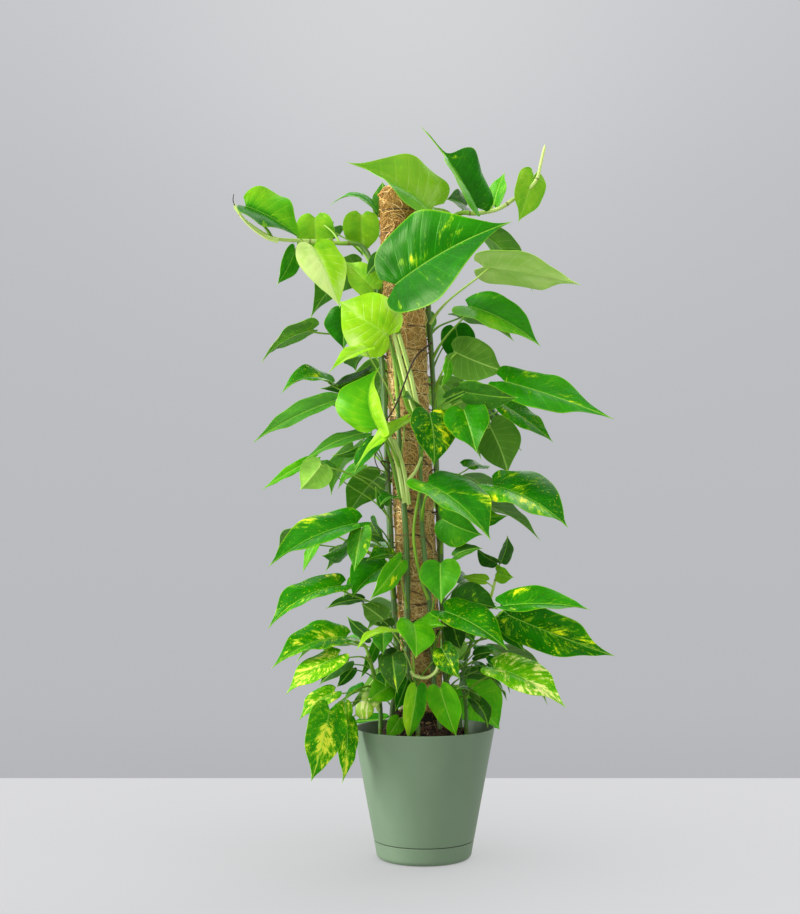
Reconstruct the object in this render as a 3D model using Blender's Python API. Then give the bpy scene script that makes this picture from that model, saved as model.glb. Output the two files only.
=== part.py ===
"""A golden pothos climbing a coir pole, in a plastic pot with a flush saucer.

Units are metres in the scene. Tables and constants below are in millimetres, and MM turns them into
metres. +Z is up, the origin is at the middle of the saucer's underside, and the front of the plant
looks along -Y. Leaf places were read on a front view: ACROSS and UP are measured on the upright
plane through the pole, and DEPTH moves the point along its line of sight from the viewer's eye.
"""

import math
import random
from collections import namedtuple

import bmesh
import bpy
from mathutils import Vector, noise
from mathutils.bvhtree import BVHTree

MM = 0.001

# Viewer of the front view, in millimetres
EYE_DISTANCE = 2000.0
EYE_HEIGHT = 442.0

# Pot and saucer
POT_HEIGHT = 175.0
RIM_RADIUS = 95.0
WALL = 3.0
SEAM_HEIGHT = 25.0
SEAM_GAP = 0.9
SEAM_RADIUS = 67.4
NEST_RADIUS = 61.5
SAUCER_FOOT_RADIUS = 57.0
SAUCER_EDGE_RADIUS = 8.0
SAUCER_WALL = 2.6
GAP = 0.3
DRAIN_HOLE_RADIUS = 4.5
DRAIN_HOLE_CIRCLE = 36.0
DRAIN_HOLES = 5
ROUND_SIDES = 36

# Soil, mounded round the pole
SOIL_EDGE_HEIGHT = 142.0
SOIL_MOUND_HEIGHT = 196.0
MOUND_INNER = 26.0
SOIL_GAP = 0.5
CLOD_HEIGHT = 2.2
HOLE_CLEARANCE = 0.6

# Coir pole, leaning a little to the left as it rises
POLE_RADIUS = 27.0
POLE_FOOT = (6.5, 0.0, 34.0)
POLE_TOP = (-34.0, 0.0, 902.0)
POLE_SIDES = 14
POLE_RINGS = 24
POLE_LUMP = 1.3
BINDING_PITCH = 31.0

# Stems climbing on the pole
STEM_RADIUS = 3.6
STEM_SIDES = 5
CLIMB_RADIUS = 33.6
CLIMB_STEP = 48.0
CLIMB_START = 236.0
ROOT_DEPTH = 148.0

# Leaf blades: outline points are (along, across) in blade lengths and half widths
BLADE_THICKNESS = 0.9
PETIOLE_SPANS = 3
LOBE_REAR = (-0.1, 0.26)
LOBE_TURN = (-0.13, 0.72)
LOBE_SHOULDER = (0.02, 1.0)
WIDEST = (0.27, 1.0)
SIDE_TURN = (0.54, 1.0)
TIP_TURN = (0.85, 0.12)
WIDEST_ROW = 0.36
MIDRIB_POWER = 2.0
VEIN_BOW = 0.16
EDGE_FALL = 0.55
EDGE_WAVES = 2.3
NATURAL_WIDTH = 0.62
NATURAL_ROLL = math.radians(48)
MOST_ROLL = math.radians(66)
FLATTEST = 0.3
LOBE_REACH = 0.07

Leaf = namedtuple("Leaf", "vine node base tip width face droop fold sweep taper wave")
Vine = namedtuple("Vine", "root angle turn top shoot radius")


def leaf(
    vine, node, base, tip, left, right,
    droop=0.07, fold=20, sweep=0.0, taper=0.0, wave=0.05, under=False, roll=None,
):
    """A leaf seen from the front, with its blade rolled about its length until it covers what is seen.

    base and tip are (across, up, depth), and base is at the back of the lobes. left and right are how
    far the blade is seen to reach to either side of the line from base to tip. under is true where its
    lower face is seen, and roll, in degrees, is given only where the blade is seen nearly edge-on.
    """
    base, tip = sighted(base), sighted(tip)
    base = base.lerp(tip, LOBE_REACH)
    along = tip - base
    length = along.length
    along.normalize()
    centre = (base + tip) / 2
    toward = Vector((0, -EYE_DISTANCE, EYE_HEIGHT)) - centre
    scale = toward.length / EYE_DISTANCE
    aside = toward.normalized().cross(along).normalized()
    facing = along.cross(aside) * (-1 if under else 1)
    half = scale * (left + right) / 2
    shift = scale * (left - right) / 2 - 0.73 * sweep * length
    if roll is None:
        arch = 0.73 * droop * length
        rise = half * (1 - EDGE_FALL) * math.tan(math.radians(fold))
        natural = math.acos(min(max(2 * half / (NATURAL_WIDTH * length), math.cos(NATURAL_ROLL)), 1.0))
        full = rise * math.tan(natural) + arch * math.sin(natural)
        ease = min(max(abs(shift) / full, FLATTEST), 1.0) if full > 0 else 1.0
        low, high = 0.0, MOST_ROLL
        for _ in range(20):
            angle = (low + high) / 2
            if ease * (rise * math.tan(angle) + arch * math.sin(angle)) < abs(shift):
                low = angle
            else:
                high = angle
        roll = math.degrees(math.copysign(low, shift))
        droop *= ease
        fold = math.degrees(math.atan(ease * math.tan(math.radians(fold))))
    angle = math.radians(roll)
    face = facing * math.cos(angle) + aside * math.sin(angle)
    return Leaf(vine, node, base, tip, 2 * half / math.cos(angle), face, droop, fold, sweep, taper, wave)


def sighted(place):
    """The point in space, in millimetres, of an (across, up, depth) reading on the front view."""
    across, up, depth = place
    nearness = (EYE_DISTANCE + depth) / EYE_DISTANCE
    return Vector((across * nearness, depth, EYE_HEIGHT + (up - EYE_HEIGHT) * nearness))


# Stems: root is (x, y) in the soil, angle is the side of the pole where the stem climbs (0 is the
# right side and 270 the front), turn is how far it winds round by top, the height where it leaves the
# pole, and shoot lists (across, up, depth) points chosen by hand past that height.
VINES = {
    "vine_01": Vine((-20, -38), 244, 6, 715, (), 4.0),
    "vine_02": Vine((-42, -14), 203, -8, 770, (), 3.8),
    "vine_03": Vine(
        (-38, 18), 162, 10, 800,
        (
            (-80, 819, 10), (-118, 826, 4), (-160, 829, 0), (-194, 831, -4), (-214, 838, -8),
            (-240, 856, -12), (-256, 876, -16),
        ),
        3.4,
    ),
    "vine_04": Vine((-14, 42), 118, -10, 860, (), 3.6),
    "vine_05": Vine((22, 40), 70, 12, 850, (), 3.6),
    "vine_06": Vine(
        (44, 18), 24, -14, 845,
        (
            (40, 862, -4), (72, 866, -8), (100, 872, -10), (122, 886, -12), (143, 901, -14),
            (153, 915, -14), (157, 932, -16), (163, 958, -18),
        ),
        3.4,
    ),
    "vine_07": Vine((46, -14), 344, 8, 745, (), 3.8),
    "vine_08": Vine((20, -40), 297, -10, 610, (), 3.6),
    "vine_09": Vine((-58, -22), 0, 0, 0, ((-64, 232, -36), (-72, 262, -44), (-80, 288, -46)), 3.0),
    "vine_10": Vine((-8, -58), 0, 0, 0, ((-10, 226, -64), (-16, 252, -70)), 3.0),
    "vine_11": Vine(
        (56, -20), 0, 0, 0,
        (
            (52, 244, -14), (62, 284, -10), (76, 318, -10), (88, 344, -12), (96, 372, -14),
            (101, 390, -16),
        ),
        2.6,
    ),
    "vine_12": Vine((16, 60), 0, 0, 0, ((20, 236, 72), (24, 268, 80)), 3.0),
}

LEAVES = [
    # Left shoot at the top and the leaves round it
    leaf("vine_03", 834, (-246, 879, -30), (-162, 828, -14), 37, 11, fold=34, taper=0.3),
    leaf("vine_03", 826, (-147, 865, 24), (-143, 801, 40), 24, 26, fold=12),
    leaf("vine_03", 827, (-151, 827, -24), (-113, 739, -52), 31, 25, fold=14, droop=0.05),
    leaf("vine_03", 829, (-172, 820, 12), (-198, 770, 6), 16, 10),
    leaf("vine_04", 848, (-62, 872, 44), (-126, 877, 52), 3, 3, droop=0.24, taper=0.4, roll=-78),
    leaf("vine_04", 806, (-84, 868, 30), (-83, 808, 54), 23, 25, fold=12),
    leaf("vine_04", 850, (-54, 862, 60), (-56, 909, 72), 15, 15, fold=10),
    # Crown above the pole
    leaf("vine_06", 858, (18, 869, -46), (-104, 935, -66), 10, 47, fold=42, droop=0.06, taper=0.6),
    leaf("vine_06", 867, (75, 866, -26), (-4, 983, -40), 4, 32, fold=38, droop=0.04, taper=1.0),
    leaf("vine_06", 862, (59, 875, 20), (30, 885, 8), 6, 16),
    leaf("vine_06", 868, (93, 875, 8), (109, 921, 16), 13, 9),
    leaf("vine_06", 917, (149, 922, -8), (127, 854, -26), 21, 19, droop=0.05, fold=14),
    # Large glossy leaf in front and the lime leaves beside it
    leaf("vine_01", 668, (-50, 764, -82), (118, 855, -132), 68, 43, fold=20, taper=0.4, wave=0.03),
    leaf("vine_01", 612, (-42, 698, -58), (-114, 748, -34), 43, 40, fold=14, droop=0.1),
    leaf("vine_01", 590, (-72, 686, -88), (-129, 651, -124), 2, 15, fold=34, taper=0.5),
    leaf("vine_02", 690, (-105, 740, -14), (-108, 682, -20), 22, 27),
    leaf("vine_02", 715, (-65, 761, -36), (-106, 801, -16), 18, 20),
    leaf("vine_02", 758, (-52, 813, -40), (-78, 781, -50), 10, 12),
    # Right side, upper half
    leaf("vine_07", 735, (71, 796, -24), (211, 770, -50), 27, 20, taper=0.2, under=True),
    leaf("vine_07", 668, (52, 745, -40), (157, 687, -92), 33, 14, fold=24, droop=0.09),
    leaf("vine_06", 655, (42, 716, 10), (51, 659, 24), 23, 22, fold=12),
    leaf("vine_07", 622, (35, 682, -38), (109, 653, -56), 27, 31, droop=0.08, under=True),
    leaf("vine_07", 600, (33, 669, -62), (23, 632, -74), 9, 4),
    leaf("vine_07", 580, (97, 644, -74), (256, 589, -118), 28, 21, taper=0.4),
    leaf("vine_08", 566, (51, 626, -92), (127, 618, -124), 16, 20, fold=26),
    leaf("vine_08", 578, (28, 616, -52), (74, 634, -34), 9, 8),
    leaf("vine_07", 548, (102, 612, -36), (174, 558, -68), 16, 11),
    leaf("vine_08", 540, (52, 606, -84), (71, 543, -124), 31, 29, droop=0.06),
    leaf("vine_08", 520, (7, 602, -98), (13, 525, -116), 33, 25, fold=14, droop=0.08),
    leaf("vine_06", 556, (86, 586, 8), (113, 516, -12), 33, 26, droop=0.09, under=True),
    leaf("vine_06", 572, (84, 606, 30), (131, 546, 22), 10, 6),
    leaf("vine_07", 438, (86, 504, -60), (194, 443, -110), 44, 14, fold=24, droop=0.08),
    leaf("vine_08", 452, (-1, 507, -104), (90, 426, -168), 45, 15, fold=26, droop=0.08),
    leaf("vine_07", 404, (20, 457, -50), (79, 433, -72), 22, 30),
    leaf("vine_07", 425, (62, 462, -26), (113, 459, -40), 8, 15),
    # Right side, lower half
    leaf("vine_11", 386, (100, 395, -26), (71, 416, -38), 14, 4, fold=30),
    leaf("vine_11", 389, (103, 396, -8), (112, 433, -4), 4, 13, fold=30),
    leaf("vine_11", 376, (97, 384, -28), (121, 376, -40), 9, 13),
    leaf("vine_11", 362, (86, 371, -2), (50, 377, 6), 6, 8),
    leaf("vine_07", 352, (38, 404, -50), (79, 415, -64), 12, 5, droop=0.14),
    leaf("vine_08", 318, (22, 399, -78), (23, 340, -116), 27, 28, fold=12),
    leaf("vine_07", 288, (34, 342, -44), (100, 333, -62), 30, 14),
    leaf("vine_08", 272, (22, 334, -84), (113, 278, -130), 33, 14, fold=26),
    leaf("vine_07", 262, (98, 338, -108), (223, 333, -130), 26, 6, fold=30, droop=0.05),
    leaf("vine_07", 236, (104, 329, -80), (257, 270, -114), 27, 31, fold=14),
    leaf("vine_11", 300, (98, 325, -42), (136, 276, -52), 13, 14),
    leaf("vine_11", 214, (87, 259, -76), (191, 201, -116), 33, 14, fold=22, droop=0.08),
    leaf("vine_11", 232, (66, 270, -40), (96, 275, -52), 11, 7),
    leaf("vine_10", 236, (23, 283, -90), (48, 239, -112), 16, 18),
    leaf("vine_08", 250, (38, 314, -50), (50, 278, -58), 15, 16),
    # Low leaves in front, some hanging inside the rim
    leaf("vine_10", 248, (-14, 317, -112), (-11, 267, -148), 27, 22, fold=12),
    leaf("vine_10", 250, (-34, 305, -96), (-92, 276, -108), 5, 5, droop=0.2, roll=-66),
    leaf("vine_10", 204, (20, 232, -84), (44, 161, -74), 19, 21),
    leaf("vine_12", 214, (47, 237, 90), (102, 171, 126), 38, 35, fold=12),
    leaf("vine_12", 240, (50, 250, 30), (104, 245, 40), 7, 10),
    leaf("vine_10", 208, (-9, 233, -90), (-22, 155, -76), 16, 14, fold=26),
    leaf("vine_10", 206, (-22, 240, -66), (-39, 196, -74), 12, 10),
    leaf("vine_10", 226, (-43, 274, -92), (-36, 220, -110), 18, 19, fold=14),
    leaf("vine_09", 206, (-40, 233, -60), (-78, 208, -76), 16, 18),
    leaf("vine_09", 198, (-70, 220, -62), (-77, 193, -70), 13, 12, droop=0.25, fold=30),
    leaf("vine_12", 208, (-48, 186, 88), (-97, 182, 98), 9, 9),
    leaf("vine_10", 198, (-32, 188, -60), (-51, 160, -64), 13, 11),
    # Low leaves at the left, hanging over the rim
    leaf("vine_09", 284, (-97, 299, -60), (-205, 254, -104), 7, 34, fold=28, droop=0.12),
    leaf("vine_09", 262, (-110, 275, -96), (-186, 219, -134), 13, 21, droop=0.1),
    leaf("vine_09", 254, (-99, 265, -42), (-141, 231, -56), 8, 13, droop=0.1),
    leaf("vine_09", 240, (-94, 256, -28), (-118, 228, -32), 9, 8),
    leaf("vine_09", 216, (-117, 225, -60), (-168, 184, -84), 9, 18, droop=0.1),
    leaf("vine_09", 224, (-125, 206, -96), (-152, 101, -110), 28, 23, fold=18),
    leaf("vine_09", 200, (-104, 190, -60), (-110, 99, -66), 17, 9, droop=0.06),
    leaf("vine_09", 208, (-107, 210, -56), (-102, 174, -66), 9, 11),
    leaf("vine_02", 232, (-57, 254, 6), (-101, 197, -8), 8, 6, under=True),
    leaf("vine_02", 262, (-62, 290, -6), (-86, 239, -14), 8, 6, fold=30),
    leaf("vine_03", 272, (-70, 293, 4), (-104, 324, 8), 11, 7),
    # Left side, middle
    leaf("vine_02", 398, (-81, 453, -62), (-209, 391, -104), 6, 35, fold=28, droop=0.08),
    leaf("vine_03", 388, (-143, 426, -16), (-163, 383, -22), 5, 8),
    leaf("vine_02", 408, (-83, 446, -98), (-94, 384, -116), 15, 16, fold=12),
    leaf("vine_03", 372, (-98, 423, -22), (-138, 405, -40), 18, 4),
    leaf("vine_02", 418, (-72, 453, -30), (-50, 423, -40), 6, 15),
    leaf("vine_02", 312, (-105, 369, -84), (-210, 307, -118), 2, 31, fold=28, droop=0.12),
    leaf("vine_02", 345, (-46, 396, -44), (-97, 349, -72), 12, 32, fold=24),
    leaf("vine_01", 330, (-28, 402, -88), (-73, 346, -124), 15, 13),
    leaf("vine_03", 300, (-79, 347, -16), (-132, 334, -34), 3, 11),
    leaf("vine_02", 286, (-52, 318, -36), (-85, 341, -44), 14, 16, under=True),
    # Left side, upper middle
    leaf("vine_03", 592, (-120, 638, 12), (-192, 624, -6), -6, 27, fold=34, droop=0.2),
    leaf("vine_02", 560, (-112, 618, -26), (-230, 558, -66), 6, 19, fold=24, droop=0.05),
    leaf("vine_03", 610, (-70, 655, 30), (-141, 630, 38), 18, 5),
    leaf("vine_01", 510, (-62, 571, -82), (-59, 660, -102), 60, 6, fold=36, droop=0.05, sweep=0.2, taper=0.3),
    leaf("vine_02", 520, (-76, 573, -34), (-164, 531, -62), 4, 14, droop=0.1),
    leaf("vine_03", 515, (-71, 551, 14), (-125, 540, 22), 8, 3),
    leaf("vine_02", 500, (-62, 563, -58), (-94, 516, -70), 9, 15),
    leaf("vine_01", 532, (-18, 594, -66), (-93, 524, -124), 4, 14, taper=0.4),
    leaf("vine_03", 485, (-143, 539, -20), (-218, 494, -46), 6, 9, droop=0.1),
    leaf("vine_03", 470, (-136, 531, -50), (-167, 494, -58), 24, 20, under=True),
    leaf("vine_03", 455, (-122, 518, -4), (-144, 534, 4), 5, 9),
    leaf("vine_02", 448, (-53, 471, -42), (-66, 498, -46), 7, 12),
]

# Leaves on the far side, placed by rule on the stems that climb there
BACK_STEMS = ("vine_03", "vine_04", "vine_05", "vine_06")
BACK_LEAVES = 23
BACK_LOWEST = 262.0
BACK_HIGHEST = 828.0
BACK_SEED = 12
LOW_BACK_LEAVES = 4


def bezier(points, t):
    """A point on the cubic Bezier curve with these four control points."""
    a, b, c, d = points
    u = 1.0 - t
    shares = (u * u * u, 3 * u * u * t, 3 * u * t * t, t * t * t)
    return tuple(sum(share * value for share, value in zip(shares, row)) for row in zip(a, b, c, d))


def smooth(low, high, value):
    """0 below low, 1 above high, and a smooth step between."""
    t = min(max((value - low) / (high - low), 0.0), 1.0)
    return t * t * (3 - 2 * t)


def pole_centre(height):
    """The pole's middle at a height, in millimetres."""
    foot, top = Vector(POLE_FOOT), Vector(POLE_TOP)
    return foot.lerp(top, (height - foot.z) / (top.z - foot.z))


def stem_route(vine):
    """Points of a stem from its root in the soil, up the pole and out along its shoot."""
    root_x, root_y = vine.root
    points = [Vector((root_x, root_y, ROOT_DEPTH)), Vector((root_x, root_y, SOIL_MOUND_HEIGHT + 6))]
    height = CLIMB_START
    while height < vine.top:
        share = (height - CLIMB_START) / (vine.top - CLIMB_START)
        angle = math.radians(vine.angle + vine.turn * share + 4.0 * math.sin(height * 0.021 + vine.angle))
        reach = CLIMB_RADIUS + 0.8 * (1 + math.sin(height * 0.034 + vine.angle))
        centre = pole_centre(height)
        points.append(centre + Vector((math.cos(angle) * reach, math.sin(angle) * reach, 0)))
        height += CLIMB_STEP
    points.extend(sighted(place) for place in vine.shoot)
    return points


def stem_point(route, height):
    """The point where a stem passes a height."""
    for low, high in zip(route, route[1:]):
        if low.z <= height <= high.z:
            return low.lerp(high, (height - low.z) / (high.z - low.z))
    return route[-1].copy()


def half_outline(row, taper):
    """(along, across) of the blade's edge at a row, in blade lengths and half widths."""
    if row < WIDEST_ROW:
        return bezier((LOBE_REAR, LOBE_TURN, LOBE_SHOULDER, WIDEST), row / WIDEST_ROW)
    side_turn = (SIDE_TURN[0] - 0.12 * taper, SIDE_TURN[1])
    tip_turn = (TIP_TURN[0] - 0.22 * taper, TIP_TURN[1] * (1 - 0.8 * taper))
    return bezier((WIDEST, side_turn, tip_turn, (1.0, 0.0)), (row - WIDEST_ROW) / (1 - WIDEST_ROW))


def blade_frame(item):
    """The blade's length and its unit directions: along it, to its left, and out of its upper face."""
    along = item.tip - item.base
    length = along.length
    along.normalize()
    out = (item.face - along * item.face.dot(along)).normalized()
    return length, along, out.cross(along), out


def blade_point(item, row, side):
    """The middle of the blade's thickness at a row, 0 at the base and 1 at the tip, and a side, -1 to 1."""
    length, along, left, out = blade_frame(item)
    reach = abs(side)
    half = item.width / 2
    edge_along, edge_across = half_outline(row, item.taper)
    middle = row**MIDRIB_POWER
    forward = middle + (edge_along - middle) * (reach - VEIN_BOW * reach * (1 - reach))
    across = edge_across * reach
    sideways = math.copysign(across * half, side)
    arch = 4 * item.droop * length * (forward * (1 - forward) if forward > 0 else forward)
    curve = 4 * item.sweep * length * (forward * (1 - forward) if forward > 0 else 0.0)
    rise = half * math.tan(math.radians(item.fold)) * across * (1 - EDGE_FALL * across)
    phase = item.node * 0.7 + item.width + (1.6 if side > 0 else 0.0)
    ripple = item.wave * half * across * reach * math.sin(math.tau * EDGE_WAVES * row + phase)
    return item.base + along * (forward * length) + left * (curve + sideways) + out * (arch + rise + ripple)


def blade_normal(item, row, side):
    """The direction out of the upper face at a point of the blade."""
    step = 0.02
    inner_row = min(max(row, step), 1 - 2 * step)
    inner_side = min(max(side, -1 + step), 1 - step)
    ahead = blade_point(item, inner_row + step, inner_side) - blade_point(item, inner_row - step, inner_side)
    across = blade_point(item, inner_row, inner_side + step) - blade_point(item, inner_row, inner_side - step)
    return ahead.cross(across).normalized()


def blade_mesh(item):
    """Corners and triangles of a closed thin blade, split alike on its two faces."""
    length = (item.tip - item.base).length
    if length > 140:
        rows, sides = (0.0, 0.17, 0.36, 0.6, 0.82), (-1.0, -0.5, 0.0, 0.5, 1.0)
    elif length > 60:
        rows, sides = (0.0, 0.18, 0.4, 0.7), (-1.0, 0.0, 1.0)
    else:
        rows, sides = (0.0, 0.26, 0.64), (-1.0, 0.0, 1.0)
    grid = [(row, side) for row in rows for side in sides] + [(1.0, 0.0)]
    middle = [blade_point(item, row, side) for row, side in grid]
    offset = [blade_normal(item, row, side) * (BLADE_THICKNESS / 2) for row, side in grid]
    corners = [point + move for point, move in zip(middle, offset)]
    corners += [point - move for point, move in zip(middle, offset)]
    under = len(grid)
    wide = len(sides)
    tip = len(grid) - 1
    upper = []
    for i in range(len(rows) - 1):
        for j in range(wide - 1):
            a, b = i * wide + j, i * wide + j + 1
            c, d = b + wide, a + wide
            upper += [(a, b, c), (a, c, d)] if j < wide // 2 else [(a, b, d), (b, c, d)]
    last = (len(rows) - 1) * wide
    upper += [(last + j, last + j + 1, tip) for j in range(wide - 1)]
    rim = list(range(wide)) + [i * wide + wide - 1 for i in range(1, len(rows))]
    rim += [tip] + [i * wide for i in range(len(rows) - 1, 0, -1)]
    faces = list(upper) + [(c + under, b + under, a + under) for a, b, c in upper]
    for a, b in zip(rim, rim[1:] + rim[:1]):
        faces += [(b, a, a + under), (b, a + under, b + under)]
    return corners, faces


def petiole_route(item, route):
    """Points of the leaf stalk, from inside its stem to the underside of the blade's base."""
    start = stem_point(route, item.node)
    _, along, _, out = blade_frame(item)
    end = blade_point(item, 0.24, 0.0) - out * 0.3
    span = (end - start).length
    heading = (end - start).normalized()
    away = Vector((heading.x, heading.y, 0)) * 0.55 + Vector((0, 0, 0.8))
    leave = start + away.normalized() * (0.36 * span)
    arrive = end - (heading + out * 0.45 + along * 0.2).normalized() * (0.34 * span)
    return [Vector(bezier((start, leave, arrive, end), k / PETIOLE_SPANS)) for k in range(PETIOLE_SPANS + 1)]


def petiole_radii(item, count):
    """Stalk radius along its route: stout at the stem, slim under the blade."""
    size = min(max(item.width / 90, 0.45), 1.0)
    return [(1.5 + 1.3 * (1 - k / count)) * size + 0.5 for k in range(count + 1)]


def tube_mesh(points, radii, sides):
    """Corners and faces of a closed tube along points."""
    tangents = []
    for k in range(len(points)):
        before, after = points[max(k - 1, 0)], points[min(k + 1, len(points) - 1)]
        tangents.append((after - before).normalized())
    normal = tangents[0].orthogonal().normalized()
    corners = []
    for point, tangent, radius in zip(points, tangents, radii):
        normal = (normal - tangent * normal.dot(tangent)).normalized()
        second = tangent.cross(normal)
        for k in range(sides):
            angle = math.tau * k / sides
            corners.append(point + (normal * math.cos(angle) + second * math.sin(angle)) * radius)
    faces = []
    for ring in range(len(points) - 1):
        for k in range(sides):
            a, b = ring * sides + k, ring * sides + (k + 1) % sides
            faces.append((a, b, b + sides, a + sides))
    faces.append(tuple(reversed(range(sides))))
    faces.append(tuple((len(points) - 1) * sides + k for k in range(sides)))
    return corners, faces


def turned_mesh(profile, sides):
    """Corners and faces of a solid turned about Z from (radius, height) points, the first and last on Z."""
    inner = profile[1:-1]
    corners = [Vector((0, 0, profile[0][1]))]
    for radius, height in inner:
        for k in range(sides):
            angle = math.tau * k / sides
            corners.append(Vector((radius * math.cos(angle), radius * math.sin(angle), height)))
    corners.append(Vector((0, 0, profile[-1][1])))
    last = len(corners) - 1
    faces = []
    for k in range(sides):
        after = (k + 1) % sides
        faces.append((0, 1 + after, 1 + k))
        for ring in range(len(inner) - 1):
            low, high = 1 + ring * sides, 1 + (ring + 1) * sides
            faces.append((low + k, low + after, high + after, high + k))
        top = 1 + (len(inner) - 1) * sides
        faces.append((top + k, top + after, last))
    return corners, faces


def solid(name, corners, faces, material):
    """A new object from corners in millimetres, with every face pointing out."""
    mesh = bpy.data.meshes.new(name)
    mesh.from_pydata([corner * MM for corner in corners], [], faces)
    shape = bmesh.new()
    shape.from_mesh(mesh)
    bmesh.ops.recalc_face_normals(shape, faces=shape.faces)
    shape.to_mesh(mesh)
    shape.free()
    mesh.materials.append(material)
    made = bpy.data.objects.new(name, mesh)
    bpy.context.scene.collection.objects.link(made)
    return made


def combine(body, operation, others, solver):
    """Apply one Boolean of a body with a collection of helpers, then remove the helpers."""
    helpers = bpy.data.collections.new(body.name + "_helpers")
    bpy.context.scene.collection.children.link(helpers)
    for other in others:
        bpy.context.scene.collection.objects.unlink(other)
        helpers.objects.link(other)
    modifier = body.modifiers.new("combine", "BOOLEAN")
    modifier.operation = operation
    modifier.operand_type = "COLLECTION"
    modifier.collection = helpers
    modifier.solver = solver
    bpy.context.view_layer.update()
    graph = bpy.context.evaluated_depsgraph_get()
    mesh = bpy.data.meshes.new_from_object(body.evaluated_get(graph))
    body.modifiers.clear()
    old = body.data
    body.data = mesh
    bpy.data.meshes.remove(old)
    for other in others:
        bpy.data.objects.remove(other)
    bpy.data.collections.remove(helpers)


def material(name, colour, roughness):
    made = bpy.data.materials.new(name)
    made.use_nodes = True
    shader = made.node_tree.nodes["Principled BSDF"]
    shader.inputs["Base Color"].default_value = (*colour, 1.0)
    shader.inputs["Roughness"].default_value = roughness
    shader.inputs["Metallic"].default_value = 0.0
    return made


def make_saucer(finish):
    """Shallow dish, flush with the pot's wall above it, with a rounded foot."""
    top = SEAM_HEIGHT - SEAM_GAP
    foot_wall = SAUCER_FOOT_RADIUS + SAUCER_EDGE_RADIUS * 0.92
    turns = (0.0, 0.25, 0.5, 0.75, 1.0)
    profile = [(0.0, 0.0)]
    for turn in turns:
        angle = turn * math.pi / 2
        radius = SAUCER_FOOT_RADIUS + (foot_wall - SAUCER_FOOT_RADIUS) * math.sin(angle)
        profile.append((radius, SAUCER_EDGE_RADIUS * (1 - math.cos(angle))))
    profile += [
        (SEAM_RADIUS - 0.2, top),
        (SEAM_RADIUS - SAUCER_WALL, top),
        (foot_wall - SAUCER_WALL + 0.6, WALL + 4.0),
        (SAUCER_FOOT_RADIUS - 1.0, WALL),
        (0.0, WALL),
    ]
    corners, faces = turned_mesh(profile, ROUND_SIDES)
    return solid("saucer", corners, faces, finish)


def make_pot(finish):
    """Tapered pot whose narrower foot nests in the saucer, with drain holes in its floor."""
    floor = WALL + GAP
    taper = (RIM_RADIUS - SEAM_RADIUS) / (POT_HEIGHT - SEAM_HEIGHT)
    inner_low = NEST_RADIUS - 1.5 - WALL
    profile = [
        (0.0, floor),
        (NEST_RADIUS - 6.0, floor),
        (NEST_RADIUS - 1.5, floor + 4.0),
        (NEST_RADIUS, SEAM_HEIGHT - 0.2),
        (SEAM_RADIUS - 0.3, SEAM_HEIGHT),
        (SEAM_RADIUS + taper * 1.2, SEAM_HEIGHT + 1.2),
        (RIM_RADIUS - taper * 1.2, POT_HEIGHT - 1.2),
        (RIM_RADIUS - 0.9, POT_HEIGHT),
        (RIM_RADIUS - WALL + 0.9, POT_HEIGHT),
        (RIM_RADIUS - WALL, POT_HEIGHT - 1.0),
        (SEAM_RADIUS - WALL - 0.4, SEAM_HEIGHT + 3.0),
        (inner_low, floor + 8.0),
        (inner_low - 5.0, floor + WALL),
        (0.0, floor + WALL),
    ]
    corners, faces = turned_mesh(profile, ROUND_SIDES)
    pot = solid("pot", corners, faces, finish)
    drills = []
    for k in range(DRAIN_HOLES):
        angle = math.tau * (k + 0.5) / DRAIN_HOLES
        place = Vector((math.cos(angle), math.sin(angle), 0)) * DRAIN_HOLE_CIRCLE
        ends = [place + Vector((0, 0, floor - 2)), place + Vector((0, 0, floor + WALL + 2))]
        drills.append(solid("drill", *tube_mesh(ends, [DRAIN_HOLE_RADIUS] * 2, 12), finish))
    combine(pot, "DIFFERENCE", drills, "MANIFOLD")
    return pot


def soil_height(x, y):
    """Height of the soil's cloddy surface, mounded towards the pole."""
    radius = math.hypot(x, y)
    outer = RIM_RADIUS - 12.0
    mound = SOIL_MOUND_HEIGHT + (SOIL_EDGE_HEIGHT - SOIL_MOUND_HEIGHT) * smooth(MOUND_INNER, outer, radius)
    return mound + CLOD_HEIGHT * noise.noise(Vector((x, y, 7.0)) * 0.09)


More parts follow.
